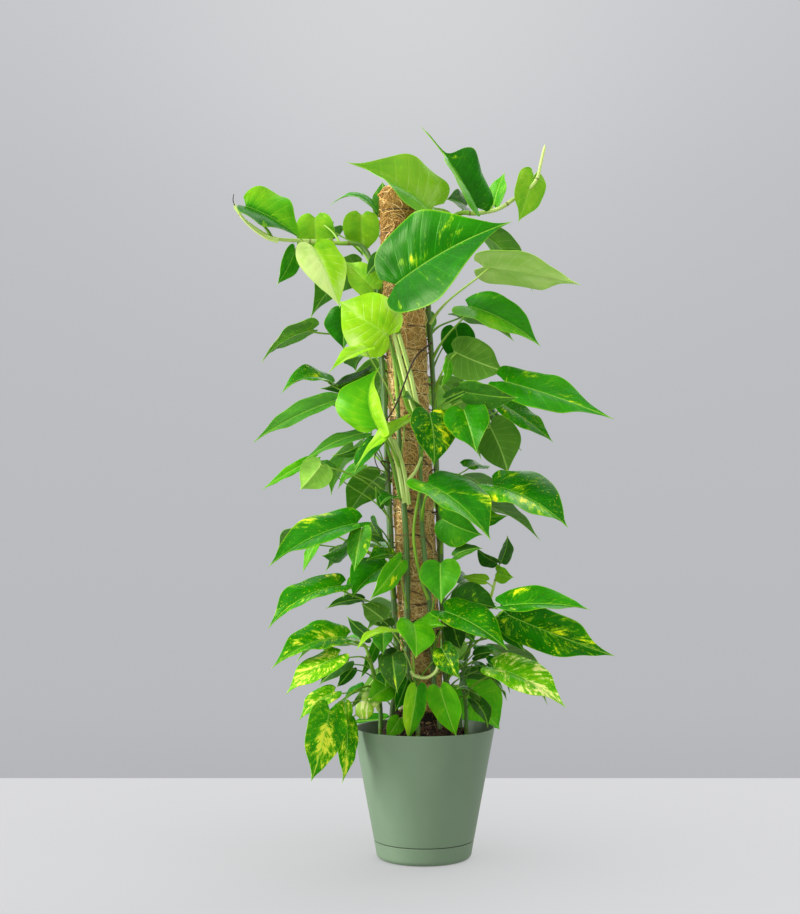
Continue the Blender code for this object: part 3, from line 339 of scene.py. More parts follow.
LEAVES = [
    # Left shoot at the top and the leaves round it
    # Painted sheen: halves lightens the upper half of this glossy leaf.
    leaf(3, 834, (-246, 879, -30), (-162, 828, -14), 37, 11, "deep",
         fold=34, taper=0.3, gold=0.0, halves=(0, 0.42, 0)),
    leaf(3, 826, (-147, 865, 24), (-143, 801, 40), 24, 26, "fresh", fold=12),
    leaf(3, 827, (-151, 827, -24), (-113, 739, -52), 31, 25, "pale",
         fold=14, droop=0.05, gold=0.0, halves=(0.14, -0.08, 0.1)),
    leaf(3, 829, (-172, 820, 12), (-198, 770, 6), 16, 10, "mid"),
    leaf(4, 848, (-62, 872, 44), (-126, 877, 52), 3, 3, "mid", droop=0.24, taper=0.4, roll=-78),
    leaf(4, 806, (-84, 868, 30), (-83, 808, 54), 23, 25, "fresh", fold=12),
    leaf(4, 850, (-54, 862, 60), (-56, 909, 72), 15, 15, "dull", fold=10),
    # Crown above the pole
    leaf(6, 858, (18, 869, -46), (-104, 935, -66), 10, 47, "moss",
         fold=42, droop=0.06, taper=0.6, halves=(0, -0.14, -0.1)),
    leaf(6, 867, (75, 866, -26), (-4, 983, -40), 4, 32, "deep",
         fold=38, droop=0.04, taper=1.0, halves=(0.04, 0.34, 0.16)),
    leaf(6, 862, (59, 875, 20), (30, 885, 8), 6, 16, "dark"),
    leaf(6, 868, (93, 875, 8), (109, 921, 16), 13, 9, "bright"),
    leaf(6, 917, (149, 922, -8), (127, 854, -26), 21, 19, "fresh", droop=0.05, fold=14),
    # Large glossy leaf in front and the lime leaves beside it
    # Painted sheen: halves lightens the upper half of this leaf a little.
    leaf(1, 668, (-50, 764, -82), (118, 855, -132), 68, 43, "deep",
         fold=20, taper=0.4, wave=0.03, gold=0.04, marks=((0.42, 0.2, 0.07), (0.3, 0.3, 0.06)),
         halves=(-0.03, 0.02, 0.06)),
    leaf(1, 612, (-42, 698, -58), (-114, 748, -34), 43, 40, "lime", fold=14, droop=0.1),
    leaf(1, 590, (-72, 686, -88), (-129, 651, -124), 2, 15, "lime", fold=34, taper=0.5),
    leaf(2, 690, (-105, 740, -14), (-108, 682, -20), 22, 27, "deep"),
    leaf(2, 715, (-65, 761, -36), (-106, 801, -16), 18, 20, "fresh"),
    leaf(2, 758, (-52, 813, -40), (-78, 781, -50), 10, 12, "dark"),
    # Right side, upper half
    leaf(7, 735, (71, 796, -24), (211, 770, -50), 27, 20, "pale", taper=0.2, under=True, gold=0.0),
    leaf(7, 668, (52, 745, -40), (157, 687, -92), 33, 14, "rich",
         fold=24, droop=0.09, gold=0.1, halves=(0.24, 0.04, 0)),
    leaf(6, 655, (42, 716, 10), (51, 659, 24), 23, 22, "deep", fold=12),
    leaf(7, 622, (35, 682, -38), (109, 653, -56), 27, 31, "dull", droop=0.08, under=True),
    leaf(7, 600, (33, 669, -62), (23, 632, -74), 9, 4, "bright"),
    leaf(7, 580, (97, 644, -74), (256, 589, -118), 28, 21, "rich",
         taper=0.4, gold=0.12, marks=((0.3, 0.75, 0.1), (0.8, 0.1, 0.08))),
    leaf(8, 566, (51, 626, -92), (127, 618, -124), 16, 20, "olive",
         fold=26, gold=0.2, marks=((0.9, 0, 0.12),)),
    leaf(8, 578, (28, 616, -52), (74, 634, -34), 9, 8, "dark"),
    leaf(7, 548, (102, 612, -36), (174, 558, -68), 16, 11, "rich", gold=0.36),
    leaf(8, 540, (52, 606, -84), (71, 543, -124), 31, 29, "rich",
         droop=0.06, gold=0.16, marks=((0.95, 0, 0.14),)),
    leaf(8, 520, (7, 602, -98), (13, 525, -116), 33, 25, "deep",
         fold=14, droop=0.08, gold=0.4, marks=((0.5, 0.6, 0.26), (0.1, 0.6, 0.16), (0.75, 0.5, 0.2))),
    leaf(6, 556, (86, 586, 8), (113, 516, -12), 33, 26, "olive", droop=0.09, under=True),
    leaf(6, 572, (84, 606, 30), (131, 546, 22), 10, 6, "dark"),
    leaf(7, 438, (86, 504, -60), (194, 443, -110), 44, 14, "rich",
         fold=24, droop=0.08, gold=0.24, marks=((0.55, -0.6, 0.2), (0.75, -0.4, 0.12)),
         halves=(0.1, -0.08, 0)),
    # Painted shade and light across the fold: halves darkens this leaf's upper half and lightens its lower
    # half.
    leaf(8, 452, (-1, 507, -104), (90, 426, -168), 45, 15, "rich",
         fold=26, droop=0.08, gold=0.14, marks=((0.62, 0.9, 0.14),), halves=(0.14, -0.12, 0.1)),
    leaf(7, 404, (20, 457, -50), (79, 433, -72), 22, 30, "mid"),
    leaf(7, 425, (62, 462, -26), (113, 459, -40), 8, 15, "mid", gold=0.3, marks=((0.6, 0.2, 0.2),)),
    # Right side, lower half
    leaf(11, 386, (100, 395, -26), (71, 416, -38), 14, 4, "dark", fold=30),
    leaf(11, 389, (103, 396, -8), (112, 433, -4), 4, 13, "dark", fold=30),
    leaf(11, 376, (97, 384, -28), (121, 376, -40), 9, 13, "fresh"),
    leaf(11, 362, (86, 371, -2), (50, 377, 6), 6, 8, "fresh"),
    leaf(7, 352, (38, 404, -50), (79, 415, -64), 12, 5, "olive", droop=0.14),
    leaf(8, 318, (22, 399, -78), (23, 340, -116), 27, 28, "mid", fold=12, gold=0.1, halves=(0, 0.08, 0)),
    leaf(7, 288, (34, 342, -44), (100, 333, -62), 30, 14, "dark"),
    leaf(8, 272, (22, 334, -84), (113, 278, -130), 33, 14, "rich", fold=26, gold=0.26),
    leaf(7, 262, (98, 338, -108), (223, 333, -130), 26, 6, "rich",
         fold=30, droop=0.05, gold=0.14, marks=((0.3, 0.7, 0.14), (0.36, 0.8, 0.1)), halves=(-0.04, 0, 0)),
    leaf(7, 236, (104, 329, -80), (257, 270, -114), 27, 31, "deep",
         fold=14, gold=0.32, marks=((0.66, 0.3, 0.06), (0.08, -0.4, 0.09), (0.95, 0, 0.06))),
    leaf(11, 300, (98, 325, -42), (136, 276, -52), 13, 14, "deep"),
    leaf(11, 214, (87, 259, -76), (191, 201, -116), 33, 14, "creamy",
         fold=22, droop=0.08, marks=((0.8, 0, 0.2),)),
    leaf(11, 232, (66, 270, -40), (96, 275, -52), 11, 7, "dark"),
    leaf(10, 236, (23, 283, -90), (48, 239, -112), 16, 18, "deep", gold=0.45, marks=((0.8, 0.1, 0.25),)),
    leaf(8, 250, (38, 314, -50), (50, 278, -58), 15, 16, "dark"),
    # Low leaves in front, some hanging inside the rim
    leaf(10, 248, (-14, 317, -112), (-11, 267, -148), 27, 22, "bright", fold=12, gold=0.14),
    leaf(10, 250, (-34, 305, -96), (-92, 276, -108), 5, 5, "lime", droop=0.2, roll=-66),
    leaf(10, 204, (20, 232, -84), (44, 161, -74), 19, 21, "bright"),
    leaf(12, 214, (47, 237, 90), (102, 171, 126), 38, 35, "bright",
         fold=12, gold=0.12, marks=((0.45, 0.62, 0.12),)),
    leaf(12, 240, (50, 250, 30), (104, 245, 40), 7, 10, "olive"),
    leaf(10, 208, (-9, 233, -90), (-22, 155, -76), 16, 14, "bright",
         fold=26, gold=0.1, halves=(0.18, -0.14, 0.1)),
    leaf(10, 206, (-22, 240, -66), (-39, 196, -74), 12, 10, "deep"),
    leaf(10, 226, (-43, 274, -92), (-36, 220, -110), 18, 19, "dark",
         fold=14, gold=0.2, marks=((0.85, 0, 0.2),)),
    leaf(9, 206, (-40, 233, -60), (-78, 208, -76), 16, 18, "bright"),
    leaf(9, 198, (-70, 220, -62), (-77, 193, -70), 13, 12, "cream", droop=0.25, fold=30),
    leaf(12, 208, (-48, 186, 88), (-97, 182, 98), 9, 9, "mid"),
    leaf(10, 198, (-32, 188, -60), (-51, 160, -64), 13, 11, "bright"),
    # Low leaves at the left, hanging over the rim
    leaf(9, 284, (-97, 299, -60), (-205, 254, -104), 7, 34, "streaked", fold=28, droop=0.12),
    leaf(9, 262, (-110, 275, -96), (-186, 219, -134), 13, 21, "golden", droop=0.1),
    leaf(9, 254, (-99, 265, -42), (-141, 231, -56), 8, 13, "dark", droop=0.1),
    leaf(9, 240, (-94, 256, -28), (-118, 228, -32), 9, 8, "dark"),
    leaf(9, 216, (-117, 225, -60), (-168, 184, -84), 9, 18, "golden", droop=0.1),
    leaf(9, 224, (-125, 206, -96), (-152, 101, -110), 28, 23, "streaked",
         fold=18, marks=((0.6, -0.1, 0.28), (0.9, 0, 0.14))),
    leaf(9, 200, (-104, 190, -60), (-110, 99, -66), 17, 9, "streaked",
         droop=0.06, marks=((0.85, 0, 0.25),)),
    leaf(9, 208, (-107, 210, -56), (-102, 174, -66), 9, 11, "golden"),
    leaf(2, 232, (-57, 254, 6), (-101, 197, -8), 8, 6, "olive", under=True),
    leaf(2, 262, (-62, 290, -6), (-86, 239, -14), 8, 6, "mid", fold=30),
    leaf(3, 272, (-70, 293, 4), (-104, 324, 8), 11, 7, "dark"),
    # Left side, middle
    leaf(2, 398, (-81, 453, -62), (-209, 391, -104), 6, 35, "rich",
         fold=28, droop=0.08, gold=0.2, marks=((0.42, -0.8, 0.17), (0.54, -0.8, 0.15)),
         halves=(-0.08, -0.08, 0)),
    leaf(3, 388, (-143, 426, -16), (-163, 383, -22), 5, 8, "bright"),
    leaf(2, 408, (-83, 446, -98), (-94, 384, -116), 15, 16, "mid",
         fold=12, gold=0.2, marks=((0.5, 0.9, 0.2),)),
    leaf(3, 372, (-98, 423, -22), (-138, 405, -40), 18, 4, "dull"),
    leaf(2, 418, (-72, 453, -30), (-50, 423, -40), 6, 15, "dark"),
    leaf(2, 312, (-105, 369, -84), (-210, 307, -118), 2, 31, "flecked",
         fold=28, droop=0.12, marks=((0.85, 0, 0.14), (0.2, -0.7, 0.14))),
    leaf(2, 345, (-46, 396, -44), (-97, 349, -72), 12, 32, "rich", fold=24),
    leaf(1, 330, (-28, 402, -88), (-73, 346, -124), 15, 13, "bright", marks=((0.5, 0.4, 0.18),)),
    leaf(3, 300, (-79, 347, -16), (-132, 334, -34), 3, 11, "dark"),
    leaf(2, 286, (-52, 318, -36), (-85, 341, -44), 14, 16, "olive", under=True),
    # Left side, upper middle
    leaf(3, 592, (-120, 638, 12), (-192, 624, -6), -6, 27, "mid", fold=34, droop=0.2, gold=0.3),
    leaf(2, 560, (-112, 618, -26), (-230, 558, -66), 6, 19, "dull", fold=24, droop=0.05),
    leaf(3, 610, (-70, 655, 30), (-141, 630, 38), 18, 5, "dark"),
    # Painted sheen: halves lightens the right half of this leaf.
    leaf(1, 510, (-62, 571, -82), (-59, 660, -102), 60, 6, "bright",
         fold=36, droop=0.05, sweep=0.2, taper=0.3, halves=(0.22, 0.04, 0)),
    leaf(2, 520, (-76, 573, -34), (-164, 531, -62), 4, 14, "dull", droop=0.1),
    leaf(3, 515, (-71, 551, 14), (-125, 540, 22), 8, 3, "olive"),
    leaf(2, 500, (-62, 563, -58), (-94, 516, -70), 9, 15, "deep"),
    leaf(1, 532, (-18, 594, -66), (-93, 524, -124), 4, 14, "lime", taper=0.4),
    leaf(3, 485, (-143, 539, -20), (-218, 494, -46), 6, 9, "bright", droop=0.1),
    leaf(3, 470, (-136, 531, -50), (-167, 494, -58), 24, 20, "bright", under=True),
    leaf(3, 455, (-122, 518, -4), (-144, 534, 4), 5, 9, "olive"),
    leaf(2, 448, (-53, 471, -42), (-66, 498, -46), 7, 12, "olive"),
]
# Leaves on the far side, placed by rule on the stems that climb there, and low on the one behind them
BACK_STEMS = ("vine_03", "vine_04", "vine_05", "vine_06")
BACK_LEAVES = 23
BACK_HEIGHTS = (262.0, 828.0)
BACK_SEED = 12
BACK_TRIES = 60
LOW_BACK_STEM = "vine_12"
LOW_BACK_LEAVES = 4
LOW_BACK_HEIGHTS = (212, 262)
BACK_CLEARANCE = 12
BACK_SPREAD = 34
BACK_REACHES = (26, 96)
LOW_BACK_REACHES = (44, 92)
BACK_LIFTS = (24, 66)
BACK_LENGTHS = (74, 128)
BACK_DIPS = (0.25, 0.95)
BACK_WIDTHS = (0.62, 0.78)
BACK_LOOKS = ("rich", "flecked", "deep", "mid", "streaked", "bright", "rich", "olive")

# Small leaves that fill the plant among its stems
FILLER_STEMS = ("vine_09", "vine_10", "vine_11", "vine_02", "vine_08", "vine_12", "vine_01", "vine_07")
FILLERS = 40
FILLER_SEED = 5
FILLER_TRIES = 40
FILLER_REACH = 118
FILLER_CLEARANCE = 4
FILLER_HEIGHTS = ((300, 640), (196, 300), (196, 300))
FILLER_REACHES = (14, 44)
FILLER_LIFTS = (6, 34)
FILLER_LENGTHS = (36, 76)
FILLER_DIPS = (-0.3, 0.9)
FILLER_WIDTHS = (0.55, 0.75)
FILLER_LOOKS = ("deep", "dark", "rich", "mid", "flecked", "bright", "deep")


def bezier(points, t):
    """A point on the cubic Bezier curve with these four control points."""
    a, b, c, d = points
    u = 1.0 - t
    shares = (u * u * u, 3 * u * u * t, 3 * u * t * t, t * t * t)
    return tuple(sum(share * value for share, value in zip(shares, row)) for row in zip(a, b, c, d))


def smooth(low, high, value):
    """0 below low, 1 above high, and a smooth step between."""
    t = min(max((value - low) / (high - low), 0.0), 1.0)
    return t * t * (3 - 2 * t)


def bump_at(middle, width, value):
    """A smooth bump, 1 at the middle and near 0 past twice the width from it."""
    return math.exp(-(((value - middle) / width) ** 2))


def level_way(angle):
    """The level direction at an angle round the upright axis."""
    return Vector((math.cos(angle), math.sin(angle), 0))


def dipping_way(angle, dip):
    """The direction at an angle round the upright axis that points down by dip."""
    return Vector((math.cos(angle) * math.cos(dip), math.sin(angle) * math.cos(dip), -math.sin(dip)))


def pole_centre(height):
    """The pole's middle at a height, in millimetres."""
    foot, top = Vector(POLE_FOOT), Vector(POLE_TOP)
    return foot.lerp(top, (height - foot.z) / (top.z - foot.z))


def stem_route(vine):
    """Points of a stem from its root in the soil, up the pole and out along its shoot."""
    points = [Vector((*vine.root, ROOT_DEPTH)), Vector((*vine.root, SOIL_MOUND_HEIGHT + 6))]
    height = CLIMB_START
    while height < vine.top:
        share = (height - CLIMB_START) / (vine.top - CLIMB_START)
        sway = SWAY_DEGREES * math.sin(height * SWAY_RATE + vine.angle)
        angle = math.radians(vine.angle + vine.turn * share + sway)
        reach = CLIMB_RADIUS + STAND_OFF * (1 + math.sin(height * STAND_OFF_RATE + vine.angle))
        points.append(pole_centre(height) + level_way(angle) * reach)
        height += CLIMB_STEP
    points.extend(sighted(place) for place in vine.shoot)
    return points


def stem_point(route, height):
    """The point where a stem passes a height."""
    for low, high in zip(route, route[1:]):
        if low.z <= height <= high.z:
            return low.lerp(high, (height - low.z) / (high.z - low.z))
    return route[-1].copy()


def half_outline(row, taper):
    """(along, across) of the blade's edge at a row, in blade lengths and half widths."""
    if row < WIDEST_ROW:
        return bezier((LOBE_REAR, LOBE_TURN, LOBE_SHOULDER, WIDEST), row / WIDEST_ROW)
    side_turn = (SIDE_TURN[0] - 0.12 * taper, SIDE_TURN[1])
    tip_turn = (TIP_TURN[0] - 0.22 * taper, TIP_TURN[1] * (1 - 0.8 * taper))
    return bezier((WIDEST, side_turn, tip_turn, (1.0, 0.0)), (row - WIDEST_ROW) / (1 - WIDEST_ROW))


def blade_frame(item):
    """The blade's length and its unit directions: along it, to its left, and out of its upper face."""
    along = item.tip - item.base
    length = along.length
    along.normalize()
    out = (item.face - along * item.face.dot(along)).normalized()
    return length, along, out.cross(along), out


def blade_point(item, row, side):
    """The middle of the blade's thickness at a row, 0 at the base and 1 at the tip, and a side, -1 to 1."""
    length, along, left, out = blade_frame(item)
    reach = abs(side)
    half = item.width / 2
    edge_along, edge_across = half_outline(row, item.taper)
    middle = row**MIDRIB_POWER
    forward = middle + (edge_along - middle) * (reach - VEIN_BOW * reach * (1 - reach))
    across = edge_across * reach
    sideways = math.copysign(across * half, side)
    arch = 4 * item.droop * length * (forward * (1 - forward) if forward > 0 else forward)
    curve = 4 * item.sweep * length * (forward * (1 - forward) if forward > 0 else 0.0)
    rise = half * math.tan(math.radians(item.fold)) * across * (1 - EDGE_FALL * across)
    phase = item.node * 0.7 + item.width + (1.6 if side > 0 else 0.0)
    ripple = item.wave * half * across * reach * math.sin(math.tau * EDGE_WAVES * row + phase)
    return item.base + along * (forward * length) + left * (curve + sideways) + out * (arch + rise + ripple)


def blade_normal(item, row, side):
    """The direction out of the upper face at a point of the blade."""
    step = 0.02
    inner_row = min(max(row, step), 1 - 2 * step)
    inner_side = min(max(side, -1 + step), 1 - step)
    ahead = blade_point(item, inner_row + step, inner_side) - blade_point(item, inner_row - step, inner_side)
    across = blade_point(item, inner_row, inner_side + step) - blade_point(item, inner_row, inner_side - step)
    return ahead.cross(across).normalized()


def by_length(item, long, middle, short):
    """The first value for a leaf over LONG_LEAF long, the second over SHORT_LEAF, and else the third."""
    length = (item.tip - item.base).length
    return long if length > LONG_LEAF else middle if length > SHORT_LEAF else short


def blade_faces(count, wide):
    """Faces of a closed thin blade: count rows of wide spans and a tip, first above and then below."""
    stride = wide + 1
    end = count * stride
    under = end + 1
    faces = []
    for i in range(count - 1):
        for j in range(wide):
            a, b = i * stride + j, i * stride + j + 1
            c, d = b + stride, a + stride
            faces += [(a, d, c, b), (a + under, b + under, c + under, d + under)]
    for a in range(end - stride, end - 1):
        faces += [(a, end, a + 1), (a + under, a + 1 + under, end + under)]
    rim = list(range(stride)) + [i * stride + wide for i in range(1, count)]
    rim += [end] + [i * stride for i in range(count - 1, 0, -1)]
    faces += [(b, a, a + under, b + under) for a, b in zip(rim, rim[1:] + rim[:1])]
    return faces


def blade_mesh(item):
    """Corners and faces of a coarse closed blade, used to keep leaves clear of each other."""
    rows = by_length(item, (0.0, 0.17, 0.36, 0.6, 0.82), (0.0, 0.18, 0.4, 0.7), (0.0, 0.26, 0.64))
    sides = by_length(item, (-1.0, -0.5, 0.0, 0.5, 1.0), (-1.0, 0.0, 1.0), (-1.0, 0.0, 1.0))
    grid = [(row, side) for row in rows for side in sides] + [(1.0, 0.0)]
    middle = [blade_point(item, row, side) for row, side in grid]
    offset = [blade_normal(item, row, side) * (SOLID_THICKNESS / 2) for row, side in grid]
    corners = [point + move for point, move in zip(middle, offset)]
    corners += [point - move for point, move in zip(middle, offset)]
    return corners, blade_faces(len(rows), len(sides) - 1)


def petiole_route(item, route, spans=PETIOLE_SPANS):
    """Points of the leaf stalk, from inside its stem to the underside of the blade's base."""
    start = stem_point(route, item.node)
    _, along, _, out = blade_frame(item)
    end = blade_point(item, 0.24, 0.0) - out * 0.3
    span = (end - start).length
    heading = (end - start).normalized()
    away = Vector((heading.x, heading.y, 0)) * 0.55 + Vector((0, 0, 0.8))
    leave = start + away.normalized() * (0.36 * span)
    arrive = end - (heading + out * 0.45 + along * 0.2).normalized() * (0.34 * span)
    return [Vector(bezier((start, leave, arrive, end), k / spans)) for k in range(spans + 1)]


def stalk_size(item):
    """Thickness of a leaf's stalk, 1 for the widest leaves."""
    return min(max(item.width / FULL_STALK_WIDTH, 0.45), 1.0)


def petiole_radii(item, count):
    """Stalk radius along its route: stout at the stem, slim under the blade."""
    return [(1.5 + 1.3 * (1 - k / count)) * stalk_size(item) + 0.5 for k in range(count + 1)]


def ringed_faces(rings, sides):
    """Faces of a tube of rings of corners, closed by a flat face at each end."""
    faces = []
    for ring in range(rings - 1):
        for k in range(sides):
            a, b = ring * sides + k, ring * sides + (k + 1) % sides
            faces.append((a, b, b + sides, a + sides))
    faces.append(tuple(reversed(range(sides))))
    faces.append(tuple((rings - 1) * sides + k for k in range(sides)))
    return faces


def tube_mesh(points, radii, sides, groove=0.0, top=None):
    """Corners and faces of a closed tube along points, with a groove down the side that faces top."""
    corners = []
    normal = top
    for k, point in enumerate(points):
        tangent = (points[min(k + 1, len(points) - 1)] - points[max(k - 1, 0)]).normalized()
        if normal is None:
            normal = tangent.orthogonal()
        normal = (normal - tangent * normal.dot(tangent)).normalized()
        second = tangent.cross(normal)
        for side in range(sides):
            angle = math.tau * side / sides
            dent = 1 - groove * bump_at(0.0, 0.5, min(angle, math.tau - angle))
            corners.append(point + (normal * math.cos(angle) + second * math.sin(angle)) * radii[k] * dent)
    return corners, ringed_faces(len(points), sides)


def turned_mesh(profile, sides):
    """Corners and faces of a solid turned about Z from (radius, height) points, the first and last on Z."""
    inner = profile[1:-1]
    corners = [UP * profile[0][1]]
    for radius, height in inner:
        corners += [level_way(math.tau * k / sides) * radius + UP * height for k in range(sides)]
    corners.append(UP * profile[-1][1])
    last = len(corners) - 1
    faces = []
    for k in range(sides):
        after = (k + 1) % sides
        faces.append((0, 1 + after, 1 + k))
        for low in range(1, last - sides, sides):
            faces.append((low + k, low + after, low + sides + after, low + sides + k))
        faces.append((last - sides + k, last - sides + after, last))
    return corners, faces


def soil_height(x, y):
    """Height of the soil's cloddy surface, mounded towards the pole."""
    radius = math.hypot(x, y)
    outer = RIM_RADIUS - 12.0
    mound = SOIL_MOUND_HEIGHT + (SOIL_EDGE_HEIGHT - SOIL_MOUND_HEIGHT) * smooth(MOUND_INNER, outer, radius)
    return mound + CLOD_HEIGHT * noise.noise(Vector((x, y, 7.0)) * 0.09)


def leaf_trees(item, route):
    """Search trees of a leaf's blade and stalk, the stalk without its ends."""
    stalk = petiole_route(item, route)
    radii = petiole_radii(item, len(stalk) - 1)
    free = [stalk[0].lerp(stalk[1], 0.5)] + stalk[1:-1] + [stalk[-1].lerp(stalk[-2], 0.45)]
    tube = tube_mesh(free, [r + 1.0 for r in radii], 5)
    return BVHTree.FromPolygons(*blade_mesh(item)), BVHTree.FromPolygons(*tube)


def back_leaf(index, rng):
    """A leaf on the far side: its stalk rises outwards, and its blade hangs out and down."""
    if index < BACK_LEAVES:
        stem = BACK_STEMS[(index * 3 + index // 4) % len(BACK_STEMS)]
        low, high = BACK_HEIGHTS
        height = low + (high - low) * (index / (BACK_LEAVES - 1)) + rng.uniform(-12, 12)
        azimuth = math.radians(VINES[stem].angle + rng.uniform(-BACK_SPREAD, BACK_SPREAD))
        reach = rng.uniform(*BACK_REACHES)
    else:
        stem = LOW_BACK_STEM
        height = rng.uniform(*LOW_BACK_HEIGHTS)
        azimuth = math.radians(rng.uniform(10, 170))
        reach = rng.uniform(*LOW_BACK_REACHES)
    out = level_way(azimuth)
    base = pole_centre(height) + out * (CLIMB_RADIUS + reach) + UP * rng.uniform(*BACK_LIFTS)
    length = rng.uniform(*BACK_LENGTHS)
    swing = azimuth + rng.uniform(-0.5, 0.5)
    tip = base + dipping_way(swing, rng.uniform(*BACK_DIPS)) * length
    face = out * 0.7 + Vector((rng.uniform(-0.25, 0.25), rng.uniform(-0.25, 0.25), 0.8))
    width = length * rng.uniform(*BACK_WIDTHS)
    droop = rng.uniform(0.07, 0.13)
    sweep = rng.uniform(-0.06, 0.06)
    tint = LOOKS[BACK_LOOKS[int(height) % len(BACK_LOOKS)]]
    return Leaf(stem, height, base, tip, width, face, droop, 16, sweep, 0.3, 0.05, tint, (), PLAIN)


def filler_leaf(index, routes, rng):
    """A small leaf that stands out from its stem, inside the plant."""
    stem = FILLER_STEMS[index % len(FILLER_STEMS)]
    node = rng.uniform(*FILLER_HEIGHTS[index % 3])
    start = stem_point(routes[stem], node)
    azimuth = math.atan2(start.y, start.x - pole_centre(start.z).x) + rng.uniform(-0.9, 0.9)
    out = level_way(azimuth)
    base = start + out * rng.uniform(*FILLER_REACHES) + UP * rng.uniform(*FILLER_LIFTS)
    length = rng.uniform(*FILLER_LENGTHS)
    dip = rng.uniform(*FILLER_DIPS)
    tip = base + dipping_way(azimuth + rng.uniform(-0.8, 0.8), dip) * length
    face = out * 0.6 + Vector((rng.uniform(-0.4, 0.4), -0.35, 0.7))
    width = length * rng.uniform(*FILLER_WIDTHS)
    droop = rng.uniform(0.06, 0.14)
    sweep = rng.uniform(-0.06, 0.06)
    tint = LOOKS[rng.choice(FILLER_LOOKS)]
    return Leaf(stem, node, base, tip, width, face, droop, 20, sweep, 0.2, 0.06, tint, (), PLAIN)


def clear_leaves(count, tries, draw, fits, items, routes):
    """Leaves that draw gives, each drawn again until it fits and touches no stem and no leaf before it."""
    placed = [tree for item in items for tree in leaf_trees(item, routes[item.vine])]
    stems = {}
    for name, route in routes.items():
        stems[name] = BVHTree.FromPolygons(*tube_mesh(route, [STEM_RADIUS + 1] * len(route), 6))
    made = []
    for index in range(count):
        for _ in range(tries):
            item = draw(index)
            blade, stalk = leaf_trees(item, routes[item.vine])
            others = [tree for name, tree in stems.items() if name != item.vine]
            touches_blade = any(blade.overlap(other) for other in placed + list(stems.values()))
            touches_stalk = any(stalk.overlap(other) for other in placed + others)
            if fits(item.tip) and not touches_blade and not touches_stalk:
                made.append(item)
                placed += [blade, stalk]
                break
    return made


def back_leaves(routes):
    """Leaves of the far side."""
    rng = random.Random(BACK_SEED)
    count = BACK_LEAVES + LOW_BACK_LEAVES

    def fits(tip):
        return tip.z >= POT_HEIGHT + BACK_CLEARANCE

    return clear_leaves(count, BACK_TRIES, lambda index: back_leaf(index, rng), fits, LEAVES, routes)


def filler_leaves(routes, items):
    """Small leaves among the stems, inside the plant."""
    rng = random.Random(FILLER_SEED)

    def draw(index):
        return filler_leaf(index, routes, rng)

    def fits(tip):
        return math.hypot(tip.x, tip.y) <= FILLER_REACH and tip.z >= POT_HEIGHT + FILLER_CLEARANCE

    return clear_leaves(FILLERS, FILLER_TRIES, draw, fits, items, routes)


class Piece:
    """Corners, faces and painted values of one piece while it is made. Lengths are in millimetres.

    place, look, extra and own hold three numbers a corner for the shader.
    """

    def __init__(self):
        self.corners, self.faces, self.slots = [], [], []
        self.place, self.look, self.extra, self.own = [], [], [], []

    def add(self, corners, faces, place=PLAIN, look=PLAIN, seed=0.0, slot=0, extra=PLAIN, length=0.0):
        """Add a part. place, look and extra are one value for all its corners, or a list of values."""
        first = len(self.corners)
        self.corners += corners
        self.faces += [tuple(first + k for k in face) for face in faces]
        self.slots += [slot] * len(faces)
        for layer, value in ((self.place, place), (self.look, look), (self.extra, extra)):
            layer += value if isinstance(value, list) else [value] * len(corners)
        self.own += [(seed, length, 0.0)] * len(corners)

    def finish(self, name, finishes, crease=50):
        """The piece as an object, smooth but for edges sharper than crease, in degrees."""
        mesh = bpy.data.meshes.new(name)
        mesh.from_pydata([corner * MM for corner in self.corners], [], self.faces)
        for finish in finishes:
            mesh.materials.append(finish)
        mesh.polygons.foreach_set("material_index", self.slots)
        for label in ("place", "look", "extra", "own"):
            layer = mesh.attributes.new(label, "FLOAT_VECTOR", "POINT")
            layer.data.foreach_set("vector", [value for row in getattr(self, label) for value in row])
        shape = bmesh.new()
        shape.from_mesh(mesh)
        bmesh.ops.recalc_face_normals(shape, faces=shape.faces)
        sharp = math.radians(crease)
        for face in shape.faces:
            face.smooth = True
        for edge in shape.edges:
            edge.smooth = len(edge.link_faces) == 2 and edge.calc_face_angle() < sharp
        shape.to_mesh(mesh)
        shape.free()
        made = bpy.data.objects.new(name, mesh)
        bpy.context.scene.collection.objects.link(made)
        return made


def relief(item, row, side, across, size):
    """How far the upper face stands out of the blade's middle: puckered between veins, drawn in at them."""
    reach = abs(side)
    phase = math.pi * (row * SIDE_VEINS + (0.5 if side > 0 else 0.0))
    pucker = PUCKER * math.sin(phase) ** 2 * min(4 * reach * (1.04 - reach), 1.0)
    groove = GROOVE * bump_at(0.0, 1.7 * size, across) * (1 - 0.6 * row)
    own = item.node * 0.37 + item.width
    drift = noise.noise(Vector((row * 3.1, side * 1.7, own)))
    ripple = noise.noise(Vector((row * 5.5, 4.0 * math.copysign(1.0, side), own)))
    room = min(abs(across) / (0.3 * item.width * max(reach, 0.01)), 1.0)
    return size * (room * pucker - groove + room * reach * (DRIFT * drift + RIPPLE * ripple * reach**2))


def spout_share(full, row, edge_across):
    """Width of a leaf with a long thin tip: wide past its middle, then at least SPOUT_HALF to each side."""
    full += 0.5 * bump_at(0.62, 0.1, row) - 0.75 * smooth(0.66, 0.8, row)
    return max(full, min(SPOUT_HALF / max(edge_across, 0.1), 1.0))


def blade_grid(item, rows, sides):
    """Points of the blade's middle, row by row, a little fuller than the solid's."""
    grid = []
    for row in rows:
        middle = blade_point(item, row, 0.0)
        full = 1 + 0.07 * bump_at(0.6, 0.17, row) - 0.12 * bump_at(0.95, 0.08, row)
        if item.taper >= 1:
            full = spout_share(full, row, half_outline(row, item.taper)[1] * item.width / 2)
        grid.append([middle + (blade_point(item, row, side) - middle) * full for side in sides])
    return grid


